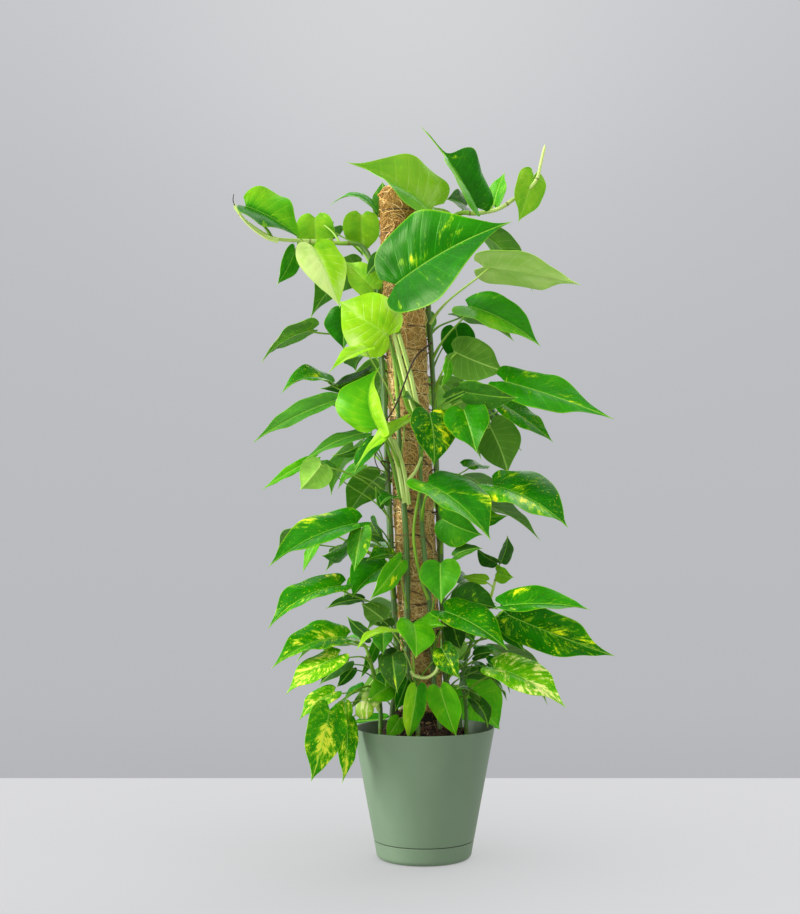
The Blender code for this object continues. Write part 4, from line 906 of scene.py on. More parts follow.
def marked(item, row, side):
    """How much the leaf's marks yellow a point of its blade."""
    near = 0.0
    narrow = item.width / 2 / (item.tip - item.base).length
    for mark_row, mark_side, mark_size in item.marks:
        gap = math.hypot(row - mark_row, (side - mark_side) * narrow)
        near += smooth(1.0, 0.2, gap / mark_size)
    return near


def tone_at(item, row, side):
    """The leaf's tone at a point of its blade, with the halves' changes, some painted sheen and shade."""
    right, left, tipward = item.halves
    change = right * smooth(0.1, -0.25, side) + left * smooth(-0.1, 0.25, side)
    return item.look.tone + change + tipward * (row - 0.5)


def fine_blade(piece, item):
    """A finer blade on the same form, with its midrib and side veins in relief."""
    length = (item.tip - item.base).length
    half = item.width / 2
    count = by_length(item, 6, 4, 3) * SIDE_VEINS
    wide = by_length(item, 24, 16, 12)
    rows = [k / count for k in range(count)]
    shares = [2 * j / wide - 1 for j in range(wide + 1)]
    sides = [math.copysign(abs(share) ** 1.35, share) for share in shares]
    size = min(max(length / RELIEF_LENGTH, 0.25), 1.1)
    grid = blade_grid(item, rows, sides)
    tip = blade_point(item, 1.0, 0.0)
    upper, lower, place, extra = [], [], [], []
    for row, before, here, after in zip(rows, grid[:1] + grid, grid, grid[1:] + [[tip] * len(sides)]):
        edge_across = half_outline(row, item.taper)[1] * half
        room = min(edge_across / (0.6 * half), 1.0)
        for j, side in enumerate(sides):
            beside = here[min(j + 1, wide)] - here[max(j - 1, 0)]
            normal = (after[j] - before[j]).cross(beside).normalized()
            across = side * edge_across
            stray = noise.noise(Vector((row * 4.2, math.copysign(2.0, side), item.width * 0.7)))
            inward = beside.normalized() * (WAVER * size * room * stray * side * abs(side))
            raised = relief(item, row, side, across, size)
            rib = RIB * size * bump_at(0.0, 1.3 * size, across) * (1 - 0.7 * row)
            upper.append(here[j] + inward + normal * (BLADE_THICKNESS / 2 + raised))
            lower.append(here[j] + inward + normal * (raised - BLADE_THICKNESS / 2 - rib))
            place.append((side, row, across))
            extra.append((item.look.cream, marked(item, row, side), 0.0))
    out = blade_frame(item)[3]
    upper.append(tip + out * BLADE_THICKNESS / 2)
    lower.append(tip - out * BLADE_THICKNESS / 2)
    place.append((0.0, 1.0, 0.0))
    extra.append(extra[-1])
    below = [(cream, near, 1.0) for cream, near, _ in extra]
    looks = [(tone_at(item, row, side), item.look.dull, item.look.gold) for side, row, _ in place]
    seed = (item.node * 0.173 + item.width * 0.377) % 10.0
    faces = blade_faces(count, wide)
    piece.add(upper + lower, faces, place * 2, looks * 2, seed, BLADE, extra + below, length)


def smooth_route(points, spans):
    """A smooth curve through the points, with this many spans between each two."""
    padded = [points[0] * 2 - points[1]] + list(points) + [points[-1] * 2 - points[-2]]
    made = []
    for k in range(1, len(padded) - 2):
        a, b, c, d = padded[k - 1 : k + 3]
        for step in range(spans):
            t = step / spans
            square = (a * 2 - b * 5 + c * 4 - d) * t**2
            cube = (b * 3 - a - c * 3 + d) * t**3
            made.append((b * 2 + (c - a) * t + square + cube) * 0.5)
    made.append(points[-1].copy())
    return made


def add_tube(piece, points, radii, sides, look, seed, slot=0, groove=0.0, top=None):
    """Add a tube along points, with a groove down the side that faces top. look may be a list of looks."""
    corners, faces = tube_mesh(points, radii, sides, groove, top)
    place, looks, run = [], [], 0.0
    for k, point in enumerate(points):
        run += (point - points[max(k - 1, 0)]).length
        looks += [look[k] if isinstance(look, list) else look] * sides
        for side in range(sides):
            angle = math.tau * side / sides
            place.append((math.cos(angle), run, min(angle, math.tau - angle)))
    piece.add(corners, faces, place, looks, seed, slot)


def add_stalk(piece, item, route):
    """The leaf's stalk: a wider sheath at the stem, a groove along its top, and a knee under the blade."""
    spans = 14
    radii = []
    for k in range(spans + 1):
        share = k / spans
        sheath = 1.2 * (1 - smooth(0.0, 0.45, share))
        knee = 0.35 * bump_at(0.9, 0.06, share)
        radii.append((1.35 + sheath + knee) * stalk_size(item) + 0.3)
    look = (0.35 + 0.5 * item.look.tone, 0.0, 0.0)
    seed = (item.node * 0.31) % 10.0
    top = blade_frame(item)[3]
    add_tube(piece, petiole_route(item, route, spans), radii, 10, look, seed, STALK, 0.22, top)


def add_stem(piece, name, route):
    """The stem: smooth between its nodes, swollen and ringed with a scar at each."""
    vine = VINES[name]
    points = smooth_route(route, 6)
    radii, looks, run = [], [], 0.0
    for k, point in enumerate(points):
        run += (point - points[max(k - 1, 0)]).length
        share = k / (len(points) - 1)
        away = math.hypot(point.x - pole_centre(point.z).x, point.y)
        tone = 0.22 + 0.1 * share + 0.6 * smooth(45.0, 120.0, away)
        looks.append((tone, 1 - smooth(40.0, 80.0, away), 1.0))
        slim = 1.0 - 0.45 * max(share - 0.6, 0.0) / 0.4
        swell = 0.14 * bump_at(0.5, 0.06, run / NODE_PITCH % 1.0)
        radii.append(vine.radius * slim * (1 + swell))
    radii[-1] *= 0.35
    add_tube(piece, points, radii, 12, looks, vine.angle % 10.0, STALK)


def add_aerial_roots(piece, name, route, rng):
    """Short brown roots that grow at the nodes and grip the pole."""
    vine = VINES[name]
    if not vine.top:
        return
    height = CLIMB_START + rng.uniform(0, 30)
    while height < vine.top - 20:
        start = stem_point(route, height)
        centre = pole_centre(height)
        angle = math.atan2(start.y - centre.y, start.x - centre.x)
        for _ in range(rng.randint(1, 3)):
            turn = rng.choice((-1, 1)) * rng.uniform(0.25, 0.85)
            drop = rng.uniform(-26, 8)
            points = []
            for share in (0.0, 0.2, 0.4, 0.6, 0.8, 1.0):
                reach = CLIMB_RADIUS + (POLE_RADIUS - CLIMB_RADIUS) * smooth(0.0, 0.6, share)
                points.append(pole_centre(height + drop * share) + level_way(angle + turn * share) * reach)
            look = (rng.random(), 0.0, 0.0)
            add_tube(piece, points, ROOT_RADII, 6, look, rng.uniform(0, 9), ROOT)
        height += NODE_PITCH * rng.uniform(0.8, 1.2)


# Growing tips, bare stalks and long roots that are seen between the leaves. Points are (across, up,
# depth), radii run from the first point to the last, and tone is 0 for dark and 1 for pale green.
Strand = namedtuple("Strand", "vine slot start_radius end_radius tone groove points")
STRANDS = (
    Strand(1, STALK, 3.6, 3.0, 1.0, 0.3,
           ((-2, 588, -40), (-14, 604, -42), (-27, 650, -44), (-42, 708, -54))),
    Strand(1, STALK, 3.4, 2.8, 0.85, 0.3,
           ((4, 592, -42), (-8, 606, -44), (-19, 652, -46), (-34, 704, -56))),
    Strand(1, STALK, 3.0, 2.6, 0.5, 0.3,
           ((-8, 590, -38), (-22, 606, -39), (-34, 652, -40), (-48, 702, -50))),
    Strand(1, STALK, 3.4, 3.0, 1.0, 0.3, ((-26, 476, -36), (-34, 520, -37), (-46, 566, -44))),
    Strand(1, STALK, 3.2, 2.6, 0.9, 0.3, ((-20, 474, -38), (-27, 520, -39), (-40, 562, -46))),
    Strand(1, STALK, 2.6, 2.2, 0.5, 0.3, ((-31, 480, -34), (-41, 522, -36), (-52, 562, -42))),
    Strand(1, ROOT, 1.3, 0.9, 0.1, 0.0,
           ((10, 692, -32), (-14, 668, -52), (-38, 608, -54), (-66, 566, -50))),
    Strand(8, STALK, 2.4, 1.8, 1.0, 0.2, ((-26, 503, -34), (-12, 518, -44), (-2, 542, -42))),
    Strand(8, STALK, 2.2, 1.8, 0.6, 0.2, ((6, 346, -37), (-6, 380, -40), (-14, 434, -40), (-6, 494, -38))),
    Strand(1, ROOT, 1.2, 0.5, 0.2, 0.0,
           ((-40, 528, -30), (-58, 532, -40), (-46, 514, -44), (-54, 498, -50))),
    Strand(1, ROOT, 1.0, 0.4, 0.3, 0.0,
           ((-52, 560, -36), (-66, 540, -46), (-60, 520, -50), (-48, 510, -50))),
    Strand(10, STALK, 2.4, 2.0, 1.0, 0.1,
           ((-17, 250, -69), (-13, 244, -74), (2, 241, -78), (16, 250, -82), (23, 272, -88))),
    Strand(3, STALK, 3.6, 0.9, 1.0, 0.4,
           ((-196, 829, -18), (-216, 836, -20), (-241, 856, -24), (-256, 880, -28))),
    Strand(3, ROOT, 0.8, 0.5, 0.0, 0.0, ((-255, 877, -28), (-257, 884, -28), (-256, 892, -28))),
    Strand(9, STALK, 1.7, 1.4, 0.8, 0.0, ((-62, 196, -58), (-66, 212, -66), (-74, 212, -80))),
)


def add_strands(piece, name):
    """The stem's own growing tips, bare stalks and long roots."""
    for index, strand in enumerate(STRANDS):
        if stem_name(strand.vine) == name:
            points = smooth_route([sighted(place) for place in strand.points], 8)
            first, last, spans = strand.start_radius, strand.end_radius, len(points) - 1
            radii = [first + (last - first) * k / spans for k in range(spans + 1)]
            look = (strand.tone, 0.0, 0.0)
            top = Vector((0.3, -1, 0))
            add_tube(piece, points, radii, 10, look, index * 1.3, strand.slot, strand.groove, top)


def add_bud(piece):
    """A pale unopened leaf, curled into a ball."""
    levels = [math.pi * i / BUD_RINGS for i in range(BUD_RINGS + 1)]
    profile = [(BUD_RADIUS * math.sin(level), BUD_RADIUS * math.cos(level)) for level in levels]
    ball, faces = turned_mesh(profile, 20)
    corners, place = [], []
    for x, y, z in ball:
        level = math.acos(min(max(z / BUD_RADIUS, -1.0), 1.0))
        bulge = 1 + 0.05 * math.sin(3 * math.atan2(y, x) + 5 * level)
        corners.append(Vector(BUD_CENTRE) + Vector((x * bulge, y * bulge, z)))
        place.append((x * bulge / BUD_RADIUS, 0.05 * z / BUD_RADIUS + 0.5, 9.0))
    piece.add(corners, faces, place, (0.84, 0.0, 0.75), 2.0, BLADE, (0.7, 0.0, 0.0), 60.0)


def make_leafy_stem(name, items, route, finishes):
    """One leafy stem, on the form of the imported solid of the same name."""
    piece = Piece()
    add_stem(piece, name, route)
    add_aerial_roots(piece, name, route, random.Random(name))
    add_strands(piece, name)
    if name == BUD_STEM:
        add_bud(piece)
    for item in items:
        fine_blade(piece, item)
        add_stalk(piece, item, route)
    made = piece.finish("leafy_" + name, finishes)
    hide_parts(name)
    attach(made, "root")


def turned_piece(name, profile, finish):
    """A piece turned about Z from (radius, height) points, the first and last on Z."""
    piece = Piece()
    piece.add(*turned_mesh(profile, TURNED_SIDES))
    return piece.finish(name, [finish])


def rounded(profile, radius, steps=4):
    """The profile with each corner between two straight runs cut to a small round."""
    made = [profile[0]]
    for before, corner, after in zip(profile, profile[1:], profile[2:]):
        here = Vector(corner)
        back, ahead = Vector(before) - here, Vector(after) - here
        cut = min(radius, back.length * 0.45, ahead.length * 0.45)
        start, end = here + back.normalized() * cut, here + ahead.normalized() * cut
        for k in range(steps + 1):
            t = k / steps
            made.append(tuple(start * (1 - t) ** 2 + here * 2 * t * (1 - t) + end * t**2))
    made.append(profile[-1])
    return made


def make_saucer(finish):
    """The shallow dish under the pot, flush with its wall, on a rounded foot."""
    top = SEAM_HEIGHT - SEAM_GAP
    foot_wall = SAUCER_FOOT_RADIUS + SAUCER_EDGE_RADIUS * SAUCER_EDGE_SHARE
    profile = [(0.0, 0.0)]
    for k in range(SAUCER_EDGE_STEPS):
        angle = k / SAUCER_EDGE_STEPS * math.pi / 2
        radius = SAUCER_FOOT_RADIUS + (foot_wall - SAUCER_FOOT_RADIUS) * math.sin(angle)
        profile.append((radius, SAUCER_EDGE_RADIUS * (1 - math.cos(angle))))
    rim = [
        (foot_wall, SAUCER_EDGE_RADIUS),
        (SEAM_RADIUS - SAUCER_INSET, top),
        (SEAM_RADIUS - SAUCER_WALL, top),
        (foot_wall - SAUCER_WALL + SAUCER_CORNER[0], WALL + SAUCER_CORNER[1]),
        (SAUCER_FOOT_RADIUS - 1.0, WALL),
        (0.0, WALL),
    ]
    made = turned_piece("round_saucer", profile + rounded(rim, SAUCER_ROUND), finish)
    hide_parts("saucer")
    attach(made, "root")


def make_pot(finish):
    """The tapered pot, with a rounded lip and drain holes in its floor."""
    floor = WALL + GAP
    inner_low = NEST_RADIUS - NEST_TAPER - WALL
    profile = [
        (0.0, floor),
        (NEST_RADIUS - POT_FOOT_ROUND, floor),
        (NEST_RADIUS - NEST_TAPER, floor + POT_FOOT_RISE),
        (NEST_RADIUS, SEAM_HEIGHT - SAUCER_INSET),
        (SEAM_RADIUS - SEAM_EASE, SEAM_HEIGHT),
        (SEAM_RADIUS + POT_TAPER * SEAM_BEVEL, SEAM_HEIGHT + SEAM_BEVEL),
        (RIM_RADIUS, POT_HEIGHT),
        (RIM_RADIUS - WALL, POT_HEIGHT),
        (SEAM_RADIUS - WALL - POT_SHOULDER, SEAM_HEIGHT + WALL),
        (inner_low, floor + POT_CORNER[1]),
        (inner_low - POT_CORNER[0], floor + WALL),
        (0.0, floor + WALL),
    ]
    pot = turned_piece("nursery_pot", rounded(profile, POT_ROUND), finish)
    drills = Piece()
    for k in range(DRAIN_HOLES):
        place = level_way(math.tau * (k + 0.5) / DRAIN_HOLES) * DRAIN_HOLE_CIRCLE
        ends = [place + UP * (floor - DRILL_SPARE), place + UP * (floor + WALL + DRILL_SPARE)]
        add_tube(drills, ends, [DRAIN_HOLE_RADIUS] * 2, 24, PLAIN, 0.0)
    cutter = drills.finish("drills", [finish])
    cut = pot.modifiers.new("drain_holes", "BOOLEAN")
    cut.object = cutter
    cut.solver = "MANIFOLD"
    graph = bpy.context.evaluated_depsgraph_get()
    drilled = bpy.data.meshes.new_from_object(pot.evaluated_get(graph))
    pot.modifiers.clear()
    pot.data = drilled
    bpy.data.objects.remove(cutter)
    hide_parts("pot")
    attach(pot, "root")


def clods(x, y):
    """Height of the soil with its clods and crumbs."""
    lumps = noise.noise(Vector((x, y, 3.0)) * 0.16) * LUMP_HEIGHT
    crumbs = noise.noise(Vector((x, y, 11.0)) * 0.55) * CRUMB_HEIGHT
    return soil_height(x, y) + lumps + crumbs


def make_soil(finish):
    """The soil: a fine cloddy top on a plain body inside the pot."""
    rings, sides = 44, 132
    edge = SOIL_RADIUS - GAP
    low = WALL + GAP + WALL + GAP
    foot, hip = (NEST_RADIUS - inset for inset in SOIL_FOOT_INSETS)
    profile = [(0.0, low), (foot, low), (hip, SEAM_HEIGHT), (edge, SOIL_EDGE_HEIGHT - SOIL_SHOULDER)]
    profile += [(edge * (1 - k / rings), SOIL_MOUND_HEIGHT) for k in range(rings)]
    profile.append((0.0, SOIL_MOUND_HEIGHT))
    corners, faces = turned_mesh(profile, sides)
    for corner in corners:
        if corner.z >= SOIL_MOUND_HEIGHT:
            corner.z = clods(corner.x, corner.y)
    piece = Piece()
    piece.add(corners, faces)
    made = piece.finish("potting_soil", [finish], 70)
    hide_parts("soil")
    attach(made, "root")


def soil_spot(rng):
    """A point drawn on the open soil, clear of the pole and the pot's wall."""
    while True:
        radius = math.sqrt(rng.uniform(0.0, 1.0)) * (SOIL_RADIUS - 5)
        spot = level_way(rng.uniform(0, math.tau)) * radius
        centre = pole_centre(SOIL_MOUND_HEIGHT)
        if math.hypot(spot.x - centre.x, spot.y - centre.y) > POLE_RADIUS + 1:
            spot.z = clods(spot.x, spot.y)
            return spot


def add_chip(piece, spot, rng):
    """One uneven chunk of bark or coir, lying in the soil."""
    size = rng.uniform(*CHIP_SIZES) * (2.0 if rng.random() < BIG_CHIP_SHARE else 1.0)
    stretch = Vector((rng.uniform(0.7, 2.2), rng.uniform(0.6, 1.1), rng.uniform(0.35, 0.8))) * size
    pose = Euler((rng.uniform(-0.5, 0.5), 0, rng.uniform(0, math.tau)))
    corners = []
    for z in (-1, 1):
        for k in range(5):
            way = level_way(math.tau * k / 5 + 0.3 * z) * rng.uniform(0.7, 1.1)
            point = Matrix.Diagonal(stretch) @ (way + UP * z * rng.uniform(0.6, 1.0))
            point.rotate(pose)
            corners.append(spot + point + UP * stretch.z * 0.3)
    piece.add(corners, ringed_faces(2, 5), look=(rng.random(), 0.0, 0.0), seed=rng.uniform(0, 9))


def make_soil_litter(finish):
    """Chips of bark and threads of coir strewn on the soil."""
    rng = random.Random(LITTER_SEED)
    piece = Piece()
    for _ in range(SOIL_CHIPS):
        add_chip(piece, soil_spot(rng), rng)
    for _ in range(SOIL_THREADS):
        spot = soil_spot(rng)
        turn = rng.uniform(0, math.tau)
        bend = rng.uniform(*THREAD_BENDS)
        length = rng.uniform(*THREAD_LENGTHS)
        points = []
        for k in range(5):
            points.append(spot.copy())
            spot += level_way(turn + bend * k / 4) * length / 4
            inside = min(math.hypot(spot.x, spot.y), SOIL_RADIUS - 3)
            spot *= inside / max(math.hypot(spot.x, spot.y), 0.001)
            spot.z = clods(spot.x, spot.y) + rng.uniform(0.2, 1.6)
        look = (rng.uniform(0.6, 1.0), 0.0, 0.0)
        add_tube(piece, points, THREAD_RADII, 4, look, rng.uniform(0, 9))
    made = piece.finish("soil_litter", [finish], 35)
    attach(made, "root")


def pole_surface(height, angle):
    """A point on the coir's lumpy skin, drawn in at the cords and rounded over at the top."""
    way = level_way(angle)
    lump = noise.noise(Vector((way.x * 1.6, way.y * 1.6, height * 0.035)))
    matted = noise.noise(Vector((way.x * 9, way.y * 9, height * 0.3)))
    bound = bump_at(0.5, 0.07, (height / BINDING_PITCH + 0.5) % 1.0)
    rise = 1 - min((POLE_TOP[2] - height) / TOP_ROUND, 1.0)
    round_off = TOP_ROUND_DEPTH * (1 - math.sqrt(max(1 - rise**2, 0.0)))
    skin = POLE_RADIUS - 0.5 + POLE_LUMP * lump + POLE_MATTING * matted
    reach = skin - BINDING_DENT * bound - round_off
    return pole_centre(height) + way * reach


def make_pole(finish):
    """The coir roll's skin."""
    sides = 72
    heights = [POLE_FOOT[2], SOIL_MOUND_HEIGHT - 50]
    while heights[-1] < POLE_TOP[2] - TOP_ROUND:
        heights.append(heights[-1] + 3.5)
    heights += [POLE_TOP[2] - drop for drop in (11, 8, 5.5, 3.5, 2, 1, 0.3)]
    corners = [pole_surface(height, math.tau * k / sides) for height in heights for k in range(sides)]
    piece = Piece()
    piece.add(corners, ringed_faces(len(heights), sides), [tuple(corner) for corner in corners])
    made = piece.finish("coir_roll", [finish], 80)
    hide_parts("coir_pole")
    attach(made, "root")


def make_strands(finish):
    """Loose coir fibres that lie curled on the roll and stand a little off it."""
    rng = random.Random(COIR_SEED)
    piece = Piece()
    low, high = SOIL_MOUND_HEIGHT - 34, POLE_TOP[2] - 3
    spans = 5
    for _ in range(COIR_STRANDS):
        height = rng.uniform(low, high)
        angle = rng.uniform(0, math.tau)
        slant = rng.gauss(0.0, FIBRE_SLANT)
        curl = rng.gauss(0.0, FIBRE_CURL)
        step = rng.uniform(*FIBRE_LENGTHS) / spans
        proud = rng.uniform(*FIBRE_LIFTS)
        if rng.random() < STRAY_SHARE:
            proud += rng.uniform(*STRAY_LIFTS)
        radius = rng.uniform(*FIBRE_RADII)
        points = []
        for k in range(spans + 1):
            share = k / spans
            skin = pole_surface(min(height, POLE_TOP[2] - 1.5), angle)
            points.append(skin + level_way(angle) * (proud * math.sin(math.pi * share) + 0.15))
            heading = slant + curl * share
            angle += math.cos(heading) * step / max((skin - pole_centre(height)).length, 8.0)
            height = min(max(height + math.sin(heading) * step, low - 5), high)
        # Painted light: fibres low on the pole are painted lighter, where the leaves shade it.
        look = (min(rng.random() + 0.55 * smooth(*COIR_PAINTED_LIGHT_HEIGHTS, height), 1.0), 0.0, 0.0)
        radii = [radius * share for share in FIBRE_THINNING]
        add_tube(piece, points, radii, 3, look, rng.uniform(0, 9))
    made = piece.finish("coir_strands", [finish], 80)
    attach(made, "root")


def make_cords(finish):
    """Thin cord tied round the roll at even steps."""
    rng = random.Random(CORD_SEED)
    piece = Piece()
    count = 56
    height = BINDING_PITCH * math.ceil((SOIL_MOUND_HEIGHT + 2) / BINDING_PITCH)
    while height < POLE_TOP[2] - 16:
        tilt = rng.uniform(-CORD_TILT, CORD_TILT)
        phase = rng.uniform(0, math.tau)
        points = []
        for angle in (math.tau * k / count for k in range(count + 1)):
            skin = pole_surface(height + tilt * math.sin(angle + phase), angle)
            points.append(skin + level_way(angle) * (CORD_RADIUS * 0.7))
        add_tube(piece, points, [CORD_RADIUS] * (count + 1), 6, PLAIN, 0.0)
        height += BINDING_PITCH
    made = piece.finish("pole_cord", [finish])
    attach(made, "root")


class Value:
    """A number or colour that a shader works out. Sums with it add the nodes they need."""

    def __init__(self, graph, socket):
        self.graph, self.socket = graph, socket

    def __add__(self, other):
        return self.graph.maths("ADD", self, other)

    def __sub__(self, other):
        return self.graph.maths("SUBTRACT", self, other)

    def __mul__(self, other):
        return self.graph.maths("MULTIPLY", self, other)

    def __truediv__(self, other):
        return self.graph.maths("DIVIDE", self, other)

    def __mod__(self, other):
        return self.graph.maths("FLOORED_MODULO", self, other)

    def __abs__(self):
        return self.graph.maths("ABSOLUTE", self)


class Graph:
    """Short names for adding shader nodes to a material or a world."""

    def __init__(self, made):
        self.made = made
        self.made.use_nodes = True
        self.nodes = self.made.node_tree.nodes
        self.links = self.made.node_tree.links

    def put(self, socket, value):
        """Set a socket to a number or a colour, or join it to another node's output."""
        if isinstance(value, Value):
            self.links.new(value.socket, socket)
        elif isinstance(value, tuple) and len(value) == 3 and socket.type == "RGBA":
            socket.default_value = (*value, 1.0)
        else:
            socket.default_value = value

    def node(self, kind, output, values, **settings):
        """The output of a new node, with values put in its inputs by name or number."""
        made = self.nodes.new("ShaderNode" + kind)
        for label, value in settings.items():
            setattr(made, label, value)
        for label, value in values.items():
            self.put(made.inputs[label], value)
        return Value(self, made.outputs[output])

    def maths(self, operation, a, b=0.0, clamp=False):
        """The result of one operation on numbers, kept from 0 to 1 where clamp is true."""
        return self.node("Math", 0, {0: a, 1: b}, operation=operation, use_clamp=clamp)

    def vary(self, value, by, amount):
        """The value moved up and down by a noise, by up to half the amount, and kept from 0 to 1."""
        return self.maths("ADD", value, (by - 0.5) * amount, clamp=True)

    def step(self, low, high, value):
        """0 below low, 1 above high, and a smooth step between."""
        ends = {"Value": value, "From Min": low, "From Max": high}
        return self.node("MapRange", 0, ends, interpolation_type="SMOOTHSTEP")

    def blend(self, share, a, b):
        """Colour a where share is 0, and b where it is 1."""
        return self.node("Mix", 2, {0: share, 6: a, 7: b}, data_type="RGBA")

    def ramp(self, value, stops):
        """The colour at a value from 0 to 1, between stops of (value, colour)."""
        made = self.node("ValToRGB", 0, {0: value})
        elements = made.socket.node.color_ramp.elements
        elements[0].position, elements[-1].position = stops[0][0], stops[-1][0]
        for place, _ in stops[1:-1]:
            elements.new(place)
        for element, (_, colour) in zip(elements, stops):
            element.color = (*colour, 1.0)
        return made

    def join(self, x, y, z):
        return self.node("CombineXYZ", 0, {0: x, 1: y, 2: z})

    def split(self, vector):
        made = self.node("SeparateXYZ", 0, {0: vector})
        return [Value(self, output) for output in made.socket.node.outputs]

    def noise(self, vector, detail=2.0, roughness=0.5):
        values = {"Vector": vector, "Scale": 1.0, "Detail": detail, "Roughness": roughness}
        return self.node("TexNoise", 0, values)

    def painted(self, label):
        """The three painted values of a layer."""
        return self.split(self.node("Attribute", "Vector", {}, attribute_name=label))

    def object_place(self, scale, turn=(0.0, 0.0, 0.0)):
        """Object coordinates, turned and then scaled."""
        place = self.node("TexCoord", "Object", {})
        turned = self.node("Mapping", 0, {"Vector": place, "Rotation": turn})
        return self.node("Mapping", 0, {"Vector": turned, "Scale": scale})


class Finish(Graph):
    """A material with one Principled shader."""

    def __init__(self, name):
        super().__init__(bpy.data.materials.new(name))
        self.shader = self.nodes["Principled BSDF"]

    def bump(self, height, strength, distance):
        values = {"Strength": strength, "Distance": distance, "Height": height}
        self.put(self.shader.inputs["Normal"], self.node("Bump", 0, values))

    def set(self, **values):
        for label, value in values.items():
            self.put(self.shader.inputs[label.replace("_", " ")], value)


LEAF_TONES = (
    (0.0, (0.003, 0.050, 0.001)),
    (0.25, (0.008, 0.130, 0.001)),
    (0.42, (0.022, 0.225, 0.001)),
    (0.6, (0.085, 0.360, 0.004)),
    (0.8, (0.270, 0.540, 0.010)),
    (1.0, (0.600, 0.780, 0.250)),
)
UNDER_TONES = (
    (0.0, (0.040, 0.120, 0.012)),
    (0.4, (0.110, 0.250, 0.025)),
    (0.75, (0.340, 0.560, 0.090)),
    (1.0, (0.620, 0.780, 0.300)),
)
STALK_TONES = (
    (0.0, (0.014, 0.075, 0.004)),
    (0.35, (0.070, 0.230, 0.008)),
    (0.65, (0.260, 0.500, 0.030)),
    (1.0, (0.620, 0.780, 0.230)),
)
ROOT_TONES = (
    (0.0, (0.030, 0.018, 0.010)),
    (0.5, (0.090, 0.050, 0.022)),
    (1.0, (0.200, 0.140, 0.055)),
)
# Coir colours: painted shade in the gaps between fibres at 0, up to golden fibre.
COIR_TONES = (
    (0.0, (0.080, 0.035, 0.008)),
    (0.4, (0.380, 0.195, 0.038)),
    (0.75, (0.740, 0.450, 0.095)),
    (1.0, (0.850, 0.560, 0.170)),
)
STRAND_TONES = (
    (0.0, (0.170, 0.075, 0.017)),
    (0.45, (0.600, 0.310, 0.070)),
    (0.8, (0.860, 0.560, 0.160)),
    (1.0, (0.930, 0.740, 0.330)),
)
SOIL_TONES = (
    (0.25, (0.006, 0.004, 0.003)),
    (0.5, (0.024, 0.013, 0.008)),
    (0.7, (0.075, 0.036, 0.018)),
    (0.9, (0.150, 0.080, 0.038)),
)
LITTER_TONES = (
    (0.0, (0.008, 0.005, 0.004)),
    (0.5, (0.040, 0.018, 0.010)),
    (0.8, (0.120, 0.055, 0.022)),
    (1.0, (0.320, 0.200, 0.085)),
)
SURROUND_GREYS = (
    (0.03, (0.455, 0.463, 0.487)),
    (0.085, (0.482, 0.491, 0.515)),
    (0.33, (0.500, 0.512, 0.535)),
    (0.42, (0.510, 0.521, 0.545)),
    (0.53, (0.550, 0.558, 0.580)),
    (1.0, (0.600, 0.608, 0.625)),
)
LIME = (0.300, 0.580, 0.008)
YELLOW = (0.740, 0.770, 0.012)
CREAM = (0.880, 0.920, 0.520)
DULL_GREEN = (0.110, 0.190, 0.045)
RIB_GREEN = (0.330, 0.600, 0.070)
UNDER_RIB_GREEN = (0.42, 0.62, 0.14)
# Colour of the painted light on the coir low on the pole
PAINTED_LIGHT_COIR = (0.900, 0.660, 0.270)


